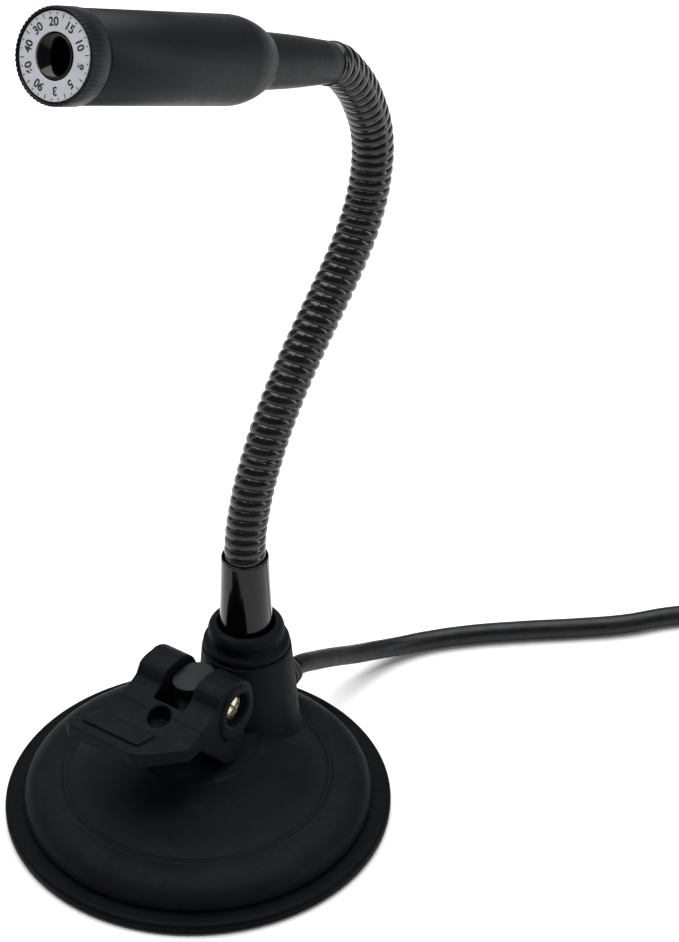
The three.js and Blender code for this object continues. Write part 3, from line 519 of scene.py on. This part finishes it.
tongue_plastic = surface("tongue_plastic", (0.75, 0.73, 0.68), 0.5, 0.3, 0.004, mottle=0.04)
contact_gold = surface("contact_gold", (0.85, 0.6, 0.25), 0.25, 0.1, 0.001, metallic=1.0)
tongue_middle = shell_start + 1.3 + (shell_length - 1.9) / 2
tongue = finished(
    block(10.7, 1.7, shell_length - 1.9, plug_place @ moved(0, -0.75, tongue_middle)),
    "plug_insert",
    "base",
    "socket",
    tongue_plastic,
    "plug_tongue",
)
eased(tongue, 0.2)
contacts = block(1, 0.12, 11, plug_place @ moved(-3.5, 0.16, tongue_middle + 2.5))
for x in (-1.1, 1.1, 3.5):
    strip = bpy.data.meshes.new("contact")
    more = block(1, 0.12, 11, plug_place @ moved(x, 0.16, tongue_middle + 2.5))
    more.to_mesh(strip)
    more.free()
    contacts.from_mesh(strip)
finished(contacts, "plug_contacts", "base", "brass", contact_gold)

# ---- Suction cup ----
# A soft rubber disc, moulded in one piece. Its flat outer ring seals on the table, its underside is a shallow bowl,
# and a thick middle is moulded round the foot of the pull stem.

cup_radius = 40
cup_rim = 2.5
# Its sharp edges get the painted highlight.
cup_rubber = surface(
    "cup_rubber", (0.0018, 0.0021, 0.0029), 0.55, 0.5, 0.02, mottle=0.25, edge_highlight=0.15, shine=0.04
)
cup_outline = [
    (12.8, 2.4),
    (17, 2.3),
    (22, 1.75),
    (26, 0.9),
    (28.4, 0.3),
    (29.9, 0.02),
    (31.5, 0.0),
    (38.6, 0.0),
    *arc(cup_radius - 0.8, 0.8, 0.8, 0.8, -70, 0, 4),
    *arc(cup_radius - 0.9, cup_rim - 0.9, 0.9, 0.9, 0, 80, 5),
    (38.4, cup_rim),
    (36.6, cup_rim - 0.15),
    (29.9, cup_rim),
    (12.8, 4.6),
]
finished(ring(cup_outline, 160), "rubber_cup", "base", "cup_rubber", cup_rubber, "suction_cup")

core_outline = [
    (0, 2.4),
    (11.5, 2.4),
    *arc(11.7, 3.2, 0.8, 0.8, -90, 0, 4),
    *arc(11.5, 7.0, 1.0, 1.0, 0, 90, 4),
    (5.7, 8.0),
    (5.7, 6.3),
    (9.8, 6.3),
    (9.8, 3.7),
    (0, 3.7),
]
finished(spun(core_outline, 64), "cup_middle", "stem", "cup_rubber", cup_rubber, "cup_core")

# ---- Base cover and hub tower ----
# One moulding in black plastic with a spark-eroded texture: a round swelling at the edge, a fine bead, a cone up to
# a small platform, and behind the middle the hollow tower that carries the neck.

cover_radius = 35.9
bulge_inner = 28.1
bulge_start = 3.8
bulge_height = 4.5
bead_radius = 27.35
platform_height = 16.6
hub_y = 16.5
hub_top = 31.8
lever_yaw = Matrix.Rotation(math.radians(3), 4, "Z")
pivot_y = -0.4
pivot_z = 30.2
bore_radius = 1.8

# Its sharp edges get the painted highlight.
spark_plastic = surface(
    "spark_plastic", (0.0038, 0.0049, 0.0068), 0.55, 0.32, 0.03, mottle=0.2, edge_highlight=0.2, shine=0.05
)

cover_outline = [
    (0, 9.4),
    (9, 9.4),
    (9, 14.2),
    (12.6, 14.2),
    (27.5, 6.2),
    (31.3, 5.3),
    (33.5, 4.4),
    (33.5, 2.8),
    (cover_radius, 2.8),
    *arc(bulge_inner, bulge_start, cover_radius - bulge_inner, bulge_height, 0, 88, 18),
    *arc(bead_radius, bulge_start + bulge_height + 0.1, 0.5, 0.26, 10, 170, 8),
    (26.7, 8.42),
    (26.4, 8.6),
    (22, 11.0),
    (17.5, 13.5),
    (13.6, 15.75),
    *arc(12.2, 15.1, 1.7, 1.5, 45, 90, 5),
    (0, platform_height),
]
hub_outline = [
    (0, 7.4),
    *arc(13.8, 13.6, 3.0, 6.2, 270, 180, 10),
    *arc(8.85, hub_top - 0.4, 0.4, 0.4, 0, 90, 4),
    (0, hub_top),
]
hub_hollow = [(0, 2), (8.7, 2), (8.7, 13.3), (7.15, 25.5), (0, 25.5)]


def slot_outline(width, length):
    """A slot with round ends, longer along Y, round the pivot's place."""
    radius = width / 2
    reach = length / 2 - radius
    return [
        *arc(0, pivot_y + reach, radius, radius, 0, 180, 14),
        *arc(0, pivot_y - reach, radius, radius, 180, 360, 14),
    ]


on_hub = moved(0, hub_y, 0)
along_y = Matrix.Rotation(math.radians(-90), 4, "X")
cover_body = combined(spun(cover_outline, 144), "UNION", spun(hub_outline, 96, on_hub))
cover_body = combined(
    cover_body,
    "DIFFERENCE",
    spun(hub_hollow, 48, on_hub),
    spun([(0, 1), (13.1, 1), (13.1, 8.6), (0, 8.6)], 64),
    spun([(0, 24), (4.3, 24), (4.3, 34), (0, 34)], 40, on_hub),
    spun([(0, 0), (3.2, 0), (3.2, 20), (0, 20)], 40, moved(0, hub_y, 15.5) @ along_y),
    prism(slot_outline(7.5, 10.3), 20, lever_yaw),
)
cover = finished(cover_body, "cover_moulding", "base", "cover_plastic", spark_plastic, "base_cover")
eased(cover, 0.25, 2, 40)

# ---- Pull stem ----
# A smooth black post, oval in plan, that stands on the flange in the cup's middle. The lever's pivot goes through it.

# Its sharp edges get the painted highlight.
stem_plastic = surface(
    "stem_plastic", (0.003, 0.0038, 0.0052), 0.38, 0.3, 0.01, mottle=0.15, edge_highlight=0.4, shine=0.15
)
stem_foot = spun([(0, 4), (9.5, 4), (9.5, 6), (5.4, 6), (5.4, 8.4), (0, 8.4)], 64)
stem_post = prism(slot_outline(6.8, 9.6), 25.7, lever_yaw @ moved(0, 0, 8.2))
along_x = Matrix.Rotation(math.radians(90), 4, "Y")
on_pivot = lever_yaw @ moved(0, pivot_y, pivot_z) @ along_x
stem_body = combined(stem_foot, "UNION", stem_post)
stem_body = combined(
    stem_body, "DIFFERENCE", spun([(0, -8), (bore_radius, -8), (bore_radius, 8), (0, 8)], 32, on_pivot)
)
stem = finished(stem_body, "stem_post", "stem", "cover_plastic", stem_plastic, "pull_stem")
eased(stem, 0.45, 4, 50)

# ---- Lever ----
# A forked cam lever, moulded in the same textured plastic with soft edges. Two thick ears stand on both sides of
# the post, a web slopes down between them to the thumb tab, and a raised pad holds the screw's sunk head.

ear_inner = 3.75
ear_outer = 10.35
ear_radius = 6.2
pad_rise = 0.8
pad_radius = 5.2
head_seat_radius = 3.55
nut_seat_radius = 3.4
tab_top = 30.0
tab_reach = 23.1
crease_y = -14.9
web_y = -8.8
web_z = 32.4
side_view = Matrix(((0, 0, 1, 0), (1, 0, 0, 0), (0, 1, 0, 0), (0, 0, 0, 1)))


def across(outline, start, end):
    """A side view in Y and Z, drawn out along the pivot from start to end."""
    return prism(outline, end - start, lever_yaw @ moved(start, 0, 0) @ side_view)


ear_outline = [
    (-0.9, 17.0),
    (-0.2, 17.0),
    (0.5, 17.5),
    (1.9, 20.4),
    (3.8, 24.4),
    *arc(pivot_y, pivot_z, ear_radius, ear_radius, -30, 90, 16),
    (-2.6, 36.4),
    (-3.8, 36.15),
    (-4.8, 35.6),
    (-5.5, 34.8),
    (-6.1, 33.7),
    (-7.6, 32.9),
    (-9.6, 32.2),
    (-11.2, 31.6),
    (-11.2, 26.8),
    (-5.0, 19.6),
    (-4.2, 18.2),
    (-3.2, 17.6),
    (-1.8, 17.1),
]
tab_side = [
    (web_y, web_z),
    (crease_y, tab_top),
    (-tab_reach - 2, tab_top),
    (-tab_reach - 2, tab_top - 3.2),
    (web_y - 1.4, tab_top - 3.2),
    (web_y, tab_top - 1.6),
]
tab_plan = [
    (10.15, -7.8),
    (-10.15, -7.8),
    (-12.05, -16.2),
    (-14.4, -20.4),
    *arc(-13.9, -21.6, 1.6, 1.5, 170, 262, 6),
    (1.2, -tab_reach),
    (4.0, -21.9),
    (10.15, -15.7),
]
grip_plan = [(1.4, -20.9), (2.6, -16.5), (-11.2, -16.5), (-12.6, -20.9)]


def thumb_tab():
    """The web and the tab: the side view cut to its plan, with the raised grip pad and the dimple in the web."""
    plan = prism(tab_plan, 20, lever_yaw @ moved(0, 0, 20))
    plate = combined(across(tab_side, -20, 20), "INTERSECT", plan)
    plate = combined(plate, "UNION", prism(grip_plan, 1.8, lever_yaw @ moved(0, 0, tab_top - 1)))
    dimple = spun([(0, 28.4), (2.1, 28.4), (2.4, 29), (2.4, 34), (0, 34)], 40, lever_yaw @ moved(0, -11.8, 0))
    return combined(plate, "DIFFERENCE", dimple)


def right_ear():
    """The ear with the raised pad, the sunk seat of the screw's head and the bore."""
    pad_outline = [
        *arc(pivot_y, pivot_z, pad_radius, pad_radius, 0, 180, 16),
        *arc(pivot_y, pivot_z - 1.6, pad_radius, pad_radius, 180, 360, 16),
    ]
    pad = across(pad_outline, ear_outer - 1, ear_outer + pad_rise)
    ear = combined(across(ear_outline, ear_inner, ear_outer), "UNION", pad)
    seat = [(0, 8.2), (head_seat_radius, 8.2), (head_seat_radius, 10.6), (3.9, 12), (0, 12)]
    bore = [(0, 0), (bore_radius, 0), (bore_radius, 12), (0, 12)]
    return combined(ear, "DIFFERENCE", spun(seat, 48, on_pivot), spun(bore, 32, on_pivot))


def left_ear():
    """The ear with the nut's seat and the bore."""
    ear = across(ear_outline, -ear_outer, -ear_inner)
    seat = [(0, -12), (nut_seat_radius, -12), (nut_seat_radius, -7.9), (0, -7.9)]
    bore = [(0, -12), (bore_radius, -12), (bore_radius, 0), (0, 0)]
    return combined(ear, "DIFFERENCE", spun(seat, 48, on_pivot), spun(bore, 32, on_pivot))


def in_one_skin(grain, passes, *shapes):
    """Runs overlapping closed shapes together into one moulded skin with soft edges."""
    whole = bpy.data.meshes.new("workpiece")
    heap = bmesh.new()
    for shape in shapes:
        shape.to_mesh(whole)
        shape.free()
        heap.from_mesh(whole)
    heap.to_mesh(whole)
    heap.free()
    workpiece = bpy.data.objects.new("workpiece", whole)
    bpy.context.scene.collection.objects.link(workpiece)
    skin = workpiece.modifiers.new("skin", "REMESH")
    skin.mode = "VOXEL"
    skin.voxel_size = grain * MM
    soft = workpiece.modifiers.new("soft", "SMOOTH")
    soft.factor = 0.5
    soft.iterations = passes
    bpy.context.view_layer.update()
    result = bmesh.new()
    result.from_mesh(workpiece.evaluated_get(bpy.context.evaluated_depsgraph_get()).to_mesh())
    bpy.data.objects.remove(workpiece)
    return result


lever_body = in_one_skin(0.24, 5, right_ear(), left_ear(), thumb_tab())
finished(lever_body, "cam_lever", "lever", "lever_plastic", spark_plastic, "lever")

# ---- Pivot screw and nut ----
# A plated steel machine screw with a domed cross head, sunk in the lever's pad, and a hexagon nut in the far ear.

screw_steel = surface(
    "screw_steel", (0.72, 0.64, 0.5), 0.28, 0.12, 0.004, metallic=1.0, spread=0.12, mottle=0.15
)
screw_head = [
    (0, -10.0),
    (1.5, -10.0),
    (1.5, 8.55),
    (3.2, 8.55),
    *arc(0, 8.9, 3.2, 1.25, 0, 90, 8),
]
cross_arms = [
    block(length, width, 1.5, on_pivot @ Matrix.Rotation(math.radians(35), 4, "Z") @ moved(0, 0, 10.05))
    for length, width in ((3.6, 0.75), (0.75, 3.6))
]
screw = finished(
    combined(spun(screw_head, 48, on_pivot), "DIFFERENCE", *cross_arms),
    "cross_head_screw",
    "lever",
    "steel",
    screw_steel,
    "pivot_screw",
)
eased(screw, 0.08, 2)
nut_body = ring([(1.55, -10.2), (3.1, -10.2), (3.1, -8.2), (1.55, -8.2)], 6, on_pivot)
nut = finished(nut_body, "lever_nut", "lever", "steel", screw_steel, "pivot_nut")
eased(nut, 0.18, 2)

# ---- Collar ----
# A stepped cap in the hub's textured plastic, screwed down on the tower, with a groove under its rounded top.

collar_outline = [
    (4.5, 32.1),
    (8.75, 32.1),
    *arc(8.55, 32.75, 0.4, 0.65, -60, 60, 6),
    (8.6, 33.55),
    (7.8, 33.8),
    (7.72, 34.2),
    (7.72, 35.5),
    *arc(6.6, 35.7, 1.3, 1.9, 0, 78, 10),
    (6.5, 37.8),
    *arc(6.25, 37.55, 0.3, 0.25, 90, 180, 4),
    (5.95, 33.2),
    (4.5, 33.2),
]
finished(ring(collar_outline, 96, on_hub), "stepped_cap", "base", "cover_plastic", spark_plastic, "collar")

# ---- Lower ferrule ----
# A tapered sleeve with a hard gloss finish. It stands in the collar and grips the foot of the neck.

gloss_black = surface(
    "gloss_black", (0.0015, 0.0016, 0.0021), 0.12, 0.6, 0.002, coat=0.08, spread=0.03, mottle=0.2, shine=0.22
)
ferrule_outline = [
    (4.35, 33.5),
    (5.6, 33.5),
    (5.45, 37.8),
    (5.28, 42),
    (5.08, 47),
    (4.85, 53.6),
    *arc(4.55, 54.2, 0.28, 0.3, 0, 180, 8),
    (4.3, 52),
]
ferrule_body = ring(ferrule_outline, 96, on_hub)
finished(ferrule_body, "gloss_sleeve", "base", "ferrule_gloss", gloss_black, "lower_ferrule")

# ---- Grommet ----
# A soft rubber grommet with cut rings, pushed into the tower's rear wall round the cable.

grommet_outline = [
    (2.2, 8.0),
    (2.9, 8.0),
    (2.9, 11.2),
    (3.5, 11.2),
    (3.5, 11.9),
    (3.05, 12.1),
    (3.05, 12.5),
    (3.3, 12.7),
    (3.22, 13.3),
    (2.85, 13.5),
    (2.85, 13.9),
    (3.05, 14.1),
    (2.8, 15.0),
    (2.2, 15.0),
]
grommet_place = moved(0, hub_y, 15.5) @ along_y
grommet_body = ring(grommet_outline, 48, grommet_place)
grommet = finished(grommet_body, "rubber_grommet", "base", "soft_rubber", soft_rubber, "cable_grommet")
eased(grommet, 0.1, 2)

# ---- Gooseneck ----
# A flexible hose: a flat-topped black wire wound as a spiral over the bending core. It runs from the lower ferrule
# to the head, cut into one length for each of the neck's joints.

hose_radius = 4.25
hose_groove = 0.46
hose_pitch = 2.15
hose_sides = 32
neck_points = [
    (17.0, 51.5),
    (16.5, 54.9),
    (18.6, 66.5),
    (22.6, 75.8),
    (27.3, 83.7),
    (32.6, 90.6),
    (38.2, 96.8),
    (44.1, 102.9),
    (49.9, 109.4),
    (54.6, 116.7),
    (57.3, 125.2),
    (57.5, 133.0),
    (55.2, 140.6),
    (50.4, 148.8),
    (43.8, 155.0),
    (41.0, 155.2),
]
bends = [j for j in frame["joints"] if j["name"].startswith("neck_bend")]
head_joint = next(j for j in frame["joints"] if j["name"] == "focus_turn")
head_place = (
    Matrix.Translation(Vector(head_joint["pos_m"]))
    @ Vector((0, 0, 1)).rotation_difference(Vector(head_joint["axis"])).to_matrix().to_4x4()
)


def straight_hose(turns):
    """One rib of the spiral, screwed up the Z axis turn by turn."""
    shares = [0, 0.05, 0.13, 0.27, 0.5, 0.73, 0.87, 0.95, 1]
    hose = bmesh.new()
    rib = []
    for share in shares:
        radius = hose_radius - hose_groove * (1 - math.sin(math.pi * share) ** 0.55)
        rib.append(hose.verts.new((radius * MM, 0, (share - 1) * hose_pitch * MM)))
    sides = [hose.edges.new(pair) for pair in zip(rib, rib[1:])]
    bmesh.ops.spin(
        hose,
        geom=rib + sides,
        cent=(0, 0, 0),
        axis=(0, 0, 1),
        dvec=(0, 0, hose_pitch * MM / hose_sides),
        angle=2 * math.pi * turns,
        steps=hose_sides * turns,
        use_merge=False,
    )
    bmesh.ops.remove_doubles(hose, verts=hose.verts, dist=1e-6)
    return hose


def bent_hose():
    """The straight spiral laid along the neck's centre line."""
    line = curve_through("neck_line", [Vector((0, y, z)) for y, z in neck_points], 0)
    line.data.resolution_u = 16
    length = line.data.splines[0].calc_length() / MM
    data = bpy.data.meshes.new("hose")
    spiral = straight_hose(math.ceil(length / hose_pitch) + 1)
    spiral.to_mesh(data)
    spiral.free()
    hose = bpy.data.objects.new("hose", data)
    bpy.context.scene.collection.objects.link(hose)
    bend = hose.modifiers.new("bend", "CURVE")
    bend.object = line
    bend.deform_axis = "POS_Z"
    bpy.context.view_layer.update()
    result = bmesh.new()
    result.from_mesh(hose.evaluated_get(bpy.context.evaluated_depsgraph_get()).to_mesh())
    bpy.data.objects.remove(hose)
    bpy.data.objects.remove(line)
    return result


def cut_flat(body, point, normal, keep_after):
    """Cuts a hose at a plane, drops one side and closes the end."""
    bmesh.ops.bisect_plane(
        body,
        geom=[*body.verts, *body.edges, *body.faces],
        plane_co=point,
        plane_no=normal,
        clear_inner=keep_after,
        clear_outer=not keep_after,
    )
    rim = [e for e in body.edges if e.is_boundary]
    bmesh.ops.holes_fill(body, edges=rim, sides=0)


hose_black = surface(
    "hose_black", (0.003, 0.0032, 0.004), 0.24, 0.5, 0.004, coat=0.1, spread=0.08, mottle=0.25, shine=0.35
)
whole_hose = bent_hose()
places = [Vector(j["pos_m"]) for j in bends]
cuts = [(Vector((0, hub_y, 53)) * MM, Vector((0, 0, 1)))]
cuts += [((a + b) / 2, (b - a).normalized()) for a, b in zip(places, places[1:])]
cuts += [(head_place.translation, Vector(head_joint["axis"]))]
for number, joint in enumerate(bends):
    stretch = whole_hose.copy()
    low, low_way = cuts[number]
    high, high_way = cuts[number + 1]
    cut_flat(stretch, low, low_way, True)
    cut_flat(stretch, high, high_way, False)
    nodes = [f"neck_{number + 1}"] + (["neck_7"] if number == 5 else [])
    hose_piece = finished(stretch, f"hose_length_{number + 1}", None, "hose_metal", hose_black, *nodes)
    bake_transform(hose_piece)
whole_hose.free()

# ---- Upper ferrule and camera case ----
# A tapered sleeve joins the neck to the tube. Both are moulded in black and sprayed with a satin soft coat. The
# tube has a rounded shoulder at its rear and stays open at the front.

case_back = 24.0
case_front = 75.8
case_radius = 8.3
# Its sharp edges get the painted highlight.
satin_coat = surface(
    "satin_coat", (0.0045, 0.0062, 0.0074), 0.46, 0.22, 0.006, spread=0.05, mottle=0.12, edge_highlight=0.2, shine=0.13
)
upper_outline = [
    (3.6, 0.1),
    (3.95, 0.1),
    (4.12, 0.5),
    (4.4, 4.5),
    (4.75, 9),
    (5.02, 12.9),
    (5.26, 18.4),
    (5.42, 23.7),
    (4.2, 23.7),
    (4.2, 31.7),
    (2.6, 31.7),
    (2.6, 10),
    (3.6, 10),
]
upper_sleeve = finished(
    ring(upper_outline, 80, head_place), "neck_sleeve", "head", "head_coat", satin_coat, "upper_ferrule"
)
eased(upper_sleeve, 0.12, 2, 40)

shoulder = [(6.1 + 2.2 * (1 - (1 - s / 14) ** 1.8), case_back + 0.5 + 8.5 * s / 14) for s in range(15)]
case_outline = [
    (4.5, case_back + 0.15),
    (5.6, case_back),
    *shoulder,
    (case_radius, 50),
    (case_radius, case_front - 0.15),
    (case_radius - 0.15, case_front),
    (7.0, case_front),
    (7.0, 32.1),
    (6.2, 28),
    (4.5, 28),
]
finished(ring(case_outline, 128, head_place), "camera_tube", "head", "head_coat", satin_coat, "camera_case")

# ---- Focus ring, dial and hood ----
# The front ring turns to focus, so its front edge is cut with fine grip notches. A pale anodised ring with printed
# distance marks is let into its face, round a glossy funnel that shades the lens.

ring_back = 76.1
ring_face = 81.1
grip_radius = 8.5
notch_start = 80.3
groove_depth = 0.12
groove_steps = 4
groove_count = 60
ring_outline = [
    (5.6, 71.6),
    (6.7, 71.6),
    (6.7, ring_back),
    (8.2, ring_back),
    (grip_radius, ring_back + 0.3),
    (grip_radius, 80.2),
    (grip_radius, 80.4),
    (grip_radius, ring_face),
    *arc(8.2, 81.1, 0.3, 0.3, 0, 90, 4),
    (7.96, 81.3),
    (7.96, 80.1),
    (4.15, 80.1),
    (4.15, 76.9),
    (5.6, 76.9),
]


def grooved_ring():
    """The turned ring, with every other pair of columns round its edge pressed in."""
    body = ring(ring_outline, groove_steps * groove_count)
    for vertex in body.verts:
        x, y, z = vertex.co / MM
        column = round(math.atan2(y, x) / (2 * math.pi) * groove_steps * groove_count)
        on_edge = math.hypot(x, y) > grip_radius - 0.35 and z > notch_start
        if on_edge and column % groove_steps in (0, 1):
            vertex.co.xy *= 1 - groove_depth / grip_radius
    bmesh.ops.transform(body, matrix=head_place, verts=body.verts)
    return body


finished(grooved_ring(), "grooved_front_ring", "focus", "head_coat", satin_coat, "focus_ring")

dial_metal = surface(
    "dial_metal", (0.56, 0.59, 0.62), 0.36, 0.2, 0.002, metallic=0.1, spread=0.06, mottle=0.03
)
dial_outline = [(4.15, 80.4), (7.66, 80.4), (7.66, ring_face), (4.15, ring_face)]
dial = finished(ring(dial_outline, 128, head_place), "scale_ring", "focus", "dial", dial_metal, "dial_ring")
eased(dial, 0.1, 2)

ink_black = surface("ink_black", (0.012, 0.012, 0.013), 0.5, 0.1, 0.002)
mark_height = 0.03
mark_numbers = ["3", "5", "8", "10", "15", "20", "30", "40", "60", "90"]
marks = bmesh.new()
for number, text in enumerate(mark_numbers):
    turn = Matrix.Rotation(2 * math.pi * (number + 0.5) / len(mark_numbers), 4, "Z")
    letters = bpy.data.curves.new("numeral", "FONT")
    letters.body = text
    letters.size = 2.1 * MM
    letters.extrude = mark_height * MM
    letters.offset = 0.05 * MM
    letters.align_x = "CENTER"
    letters.align_y = "CENTER"
    numeral = bpy.data.objects.new("numeral", letters)
    bpy.context.scene.collection.objects.link(numeral)
    bpy.context.view_layer.update()
    shape = numeral.evaluated_get(bpy.context.evaluated_depsgraph_get()).to_mesh().copy()
    shape.transform(head_place @ turn @ moved(0, -5.75, ring_face) @ Matrix.Rotation(math.pi, 4, "Z"))
    marks.from_mesh(shape)
    bpy.data.objects.remove(numeral)
for number in range(3 * len(mark_numbers)):
    turn = Matrix.Rotation(2 * math.pi * number / (3 * len(mark_numbers)), 4, "Z")
    length = 0.8 if number % 3 == 0 else 0.35
    tick = block(0.16, length, 2 * mark_height, head_place @ turn @ moved(0, 7.4 - length / 2, ring_face))
    tick_data = bpy.data.meshes.new("tick")
    tick.to_mesh(tick_data)
    tick.free()
    marks.from_mesh(tick_data)
finished(marks, "scale_marks", "focus", "dial", ink_black)

hood_steps = 2
hood_outline = [(3.85, ring_face - 1), (3.85, ring_face - 0.05), (3.6, ring_face + 0.02)]
for number in range(hood_steps):
    depth = 0.4 + 6.1 * (number + 1) / hood_steps
    radius = 3.6 - 1.7 * (number + 1) / hood_steps
    hood_outline += [
        (radius + 0.22, ring_face - depth + 0.35),
        (radius, ring_face - depth + 0.2),
        (radius, ring_face - depth),
    ]
hood_outline += [(3.0, ring_face - 6.5)]
finished(ring(hood_outline, 80, head_place), "gloss_hood", "focus", "ferrule_gloss", gloss_black, "lens_hood")

# ---- Pieces that the covers hide ----
# The stud, washer and nut that clamp the neck, the boards with their parts, the lens in its screwed barrel, and the
# lead inside the tower. They keep their CAD shapes and get the finish of their own material.

lens_glass = surface("lens_glass", (0.02, 0.03, 0.06), 0.04, 2.0, 0.0005, coat=1.0, spread=0.01)
board_green = surface("board_green", (0.01, 0.09, 0.035), 0.35, 0.35, 0.02, spread=0.1, mottle=0.35)
chip_black = surface("chip_black", (0.02, 0.02, 0.022), 0.55, 0.08, 0.004)
bright_brass = surface("bright_brass", (0.7, 0.48, 0.16), 0.32, 0.2, 0.004, metallic=1.0, spread=0.1)
hidden_finishes = {
    "neck_stud": screw_steel,
    "neck_washer": screw_steel,
    "neck_nut": bright_brass,
    "head_nut": bright_brass,
    "inner_lead": black_vinyl,
    "main_board": board_green,
    "sensor_board": board_green,
    "controller_chip": chip_black,
    "image_sensor": chip_black,
    "board_header": chip_black,
    "crystal": plug_steel,
    "cable_socket": tongue_plastic,
    "infrared_filter": lens_glass,
    "lens_holder": stem_plastic,
    "holder_screw_left": screw_steel,
    "holder_screw_right": screw_steel,
    "lens_barrel": stem_plastic,
    "rear_lens": lens_glass,
    "front_lens": lens_glass,
}
for node, material in hidden_finishes.items():
    frame["nodes"][node].data.materials.clear()
    frame["nodes"][node].data.materials.append(material)
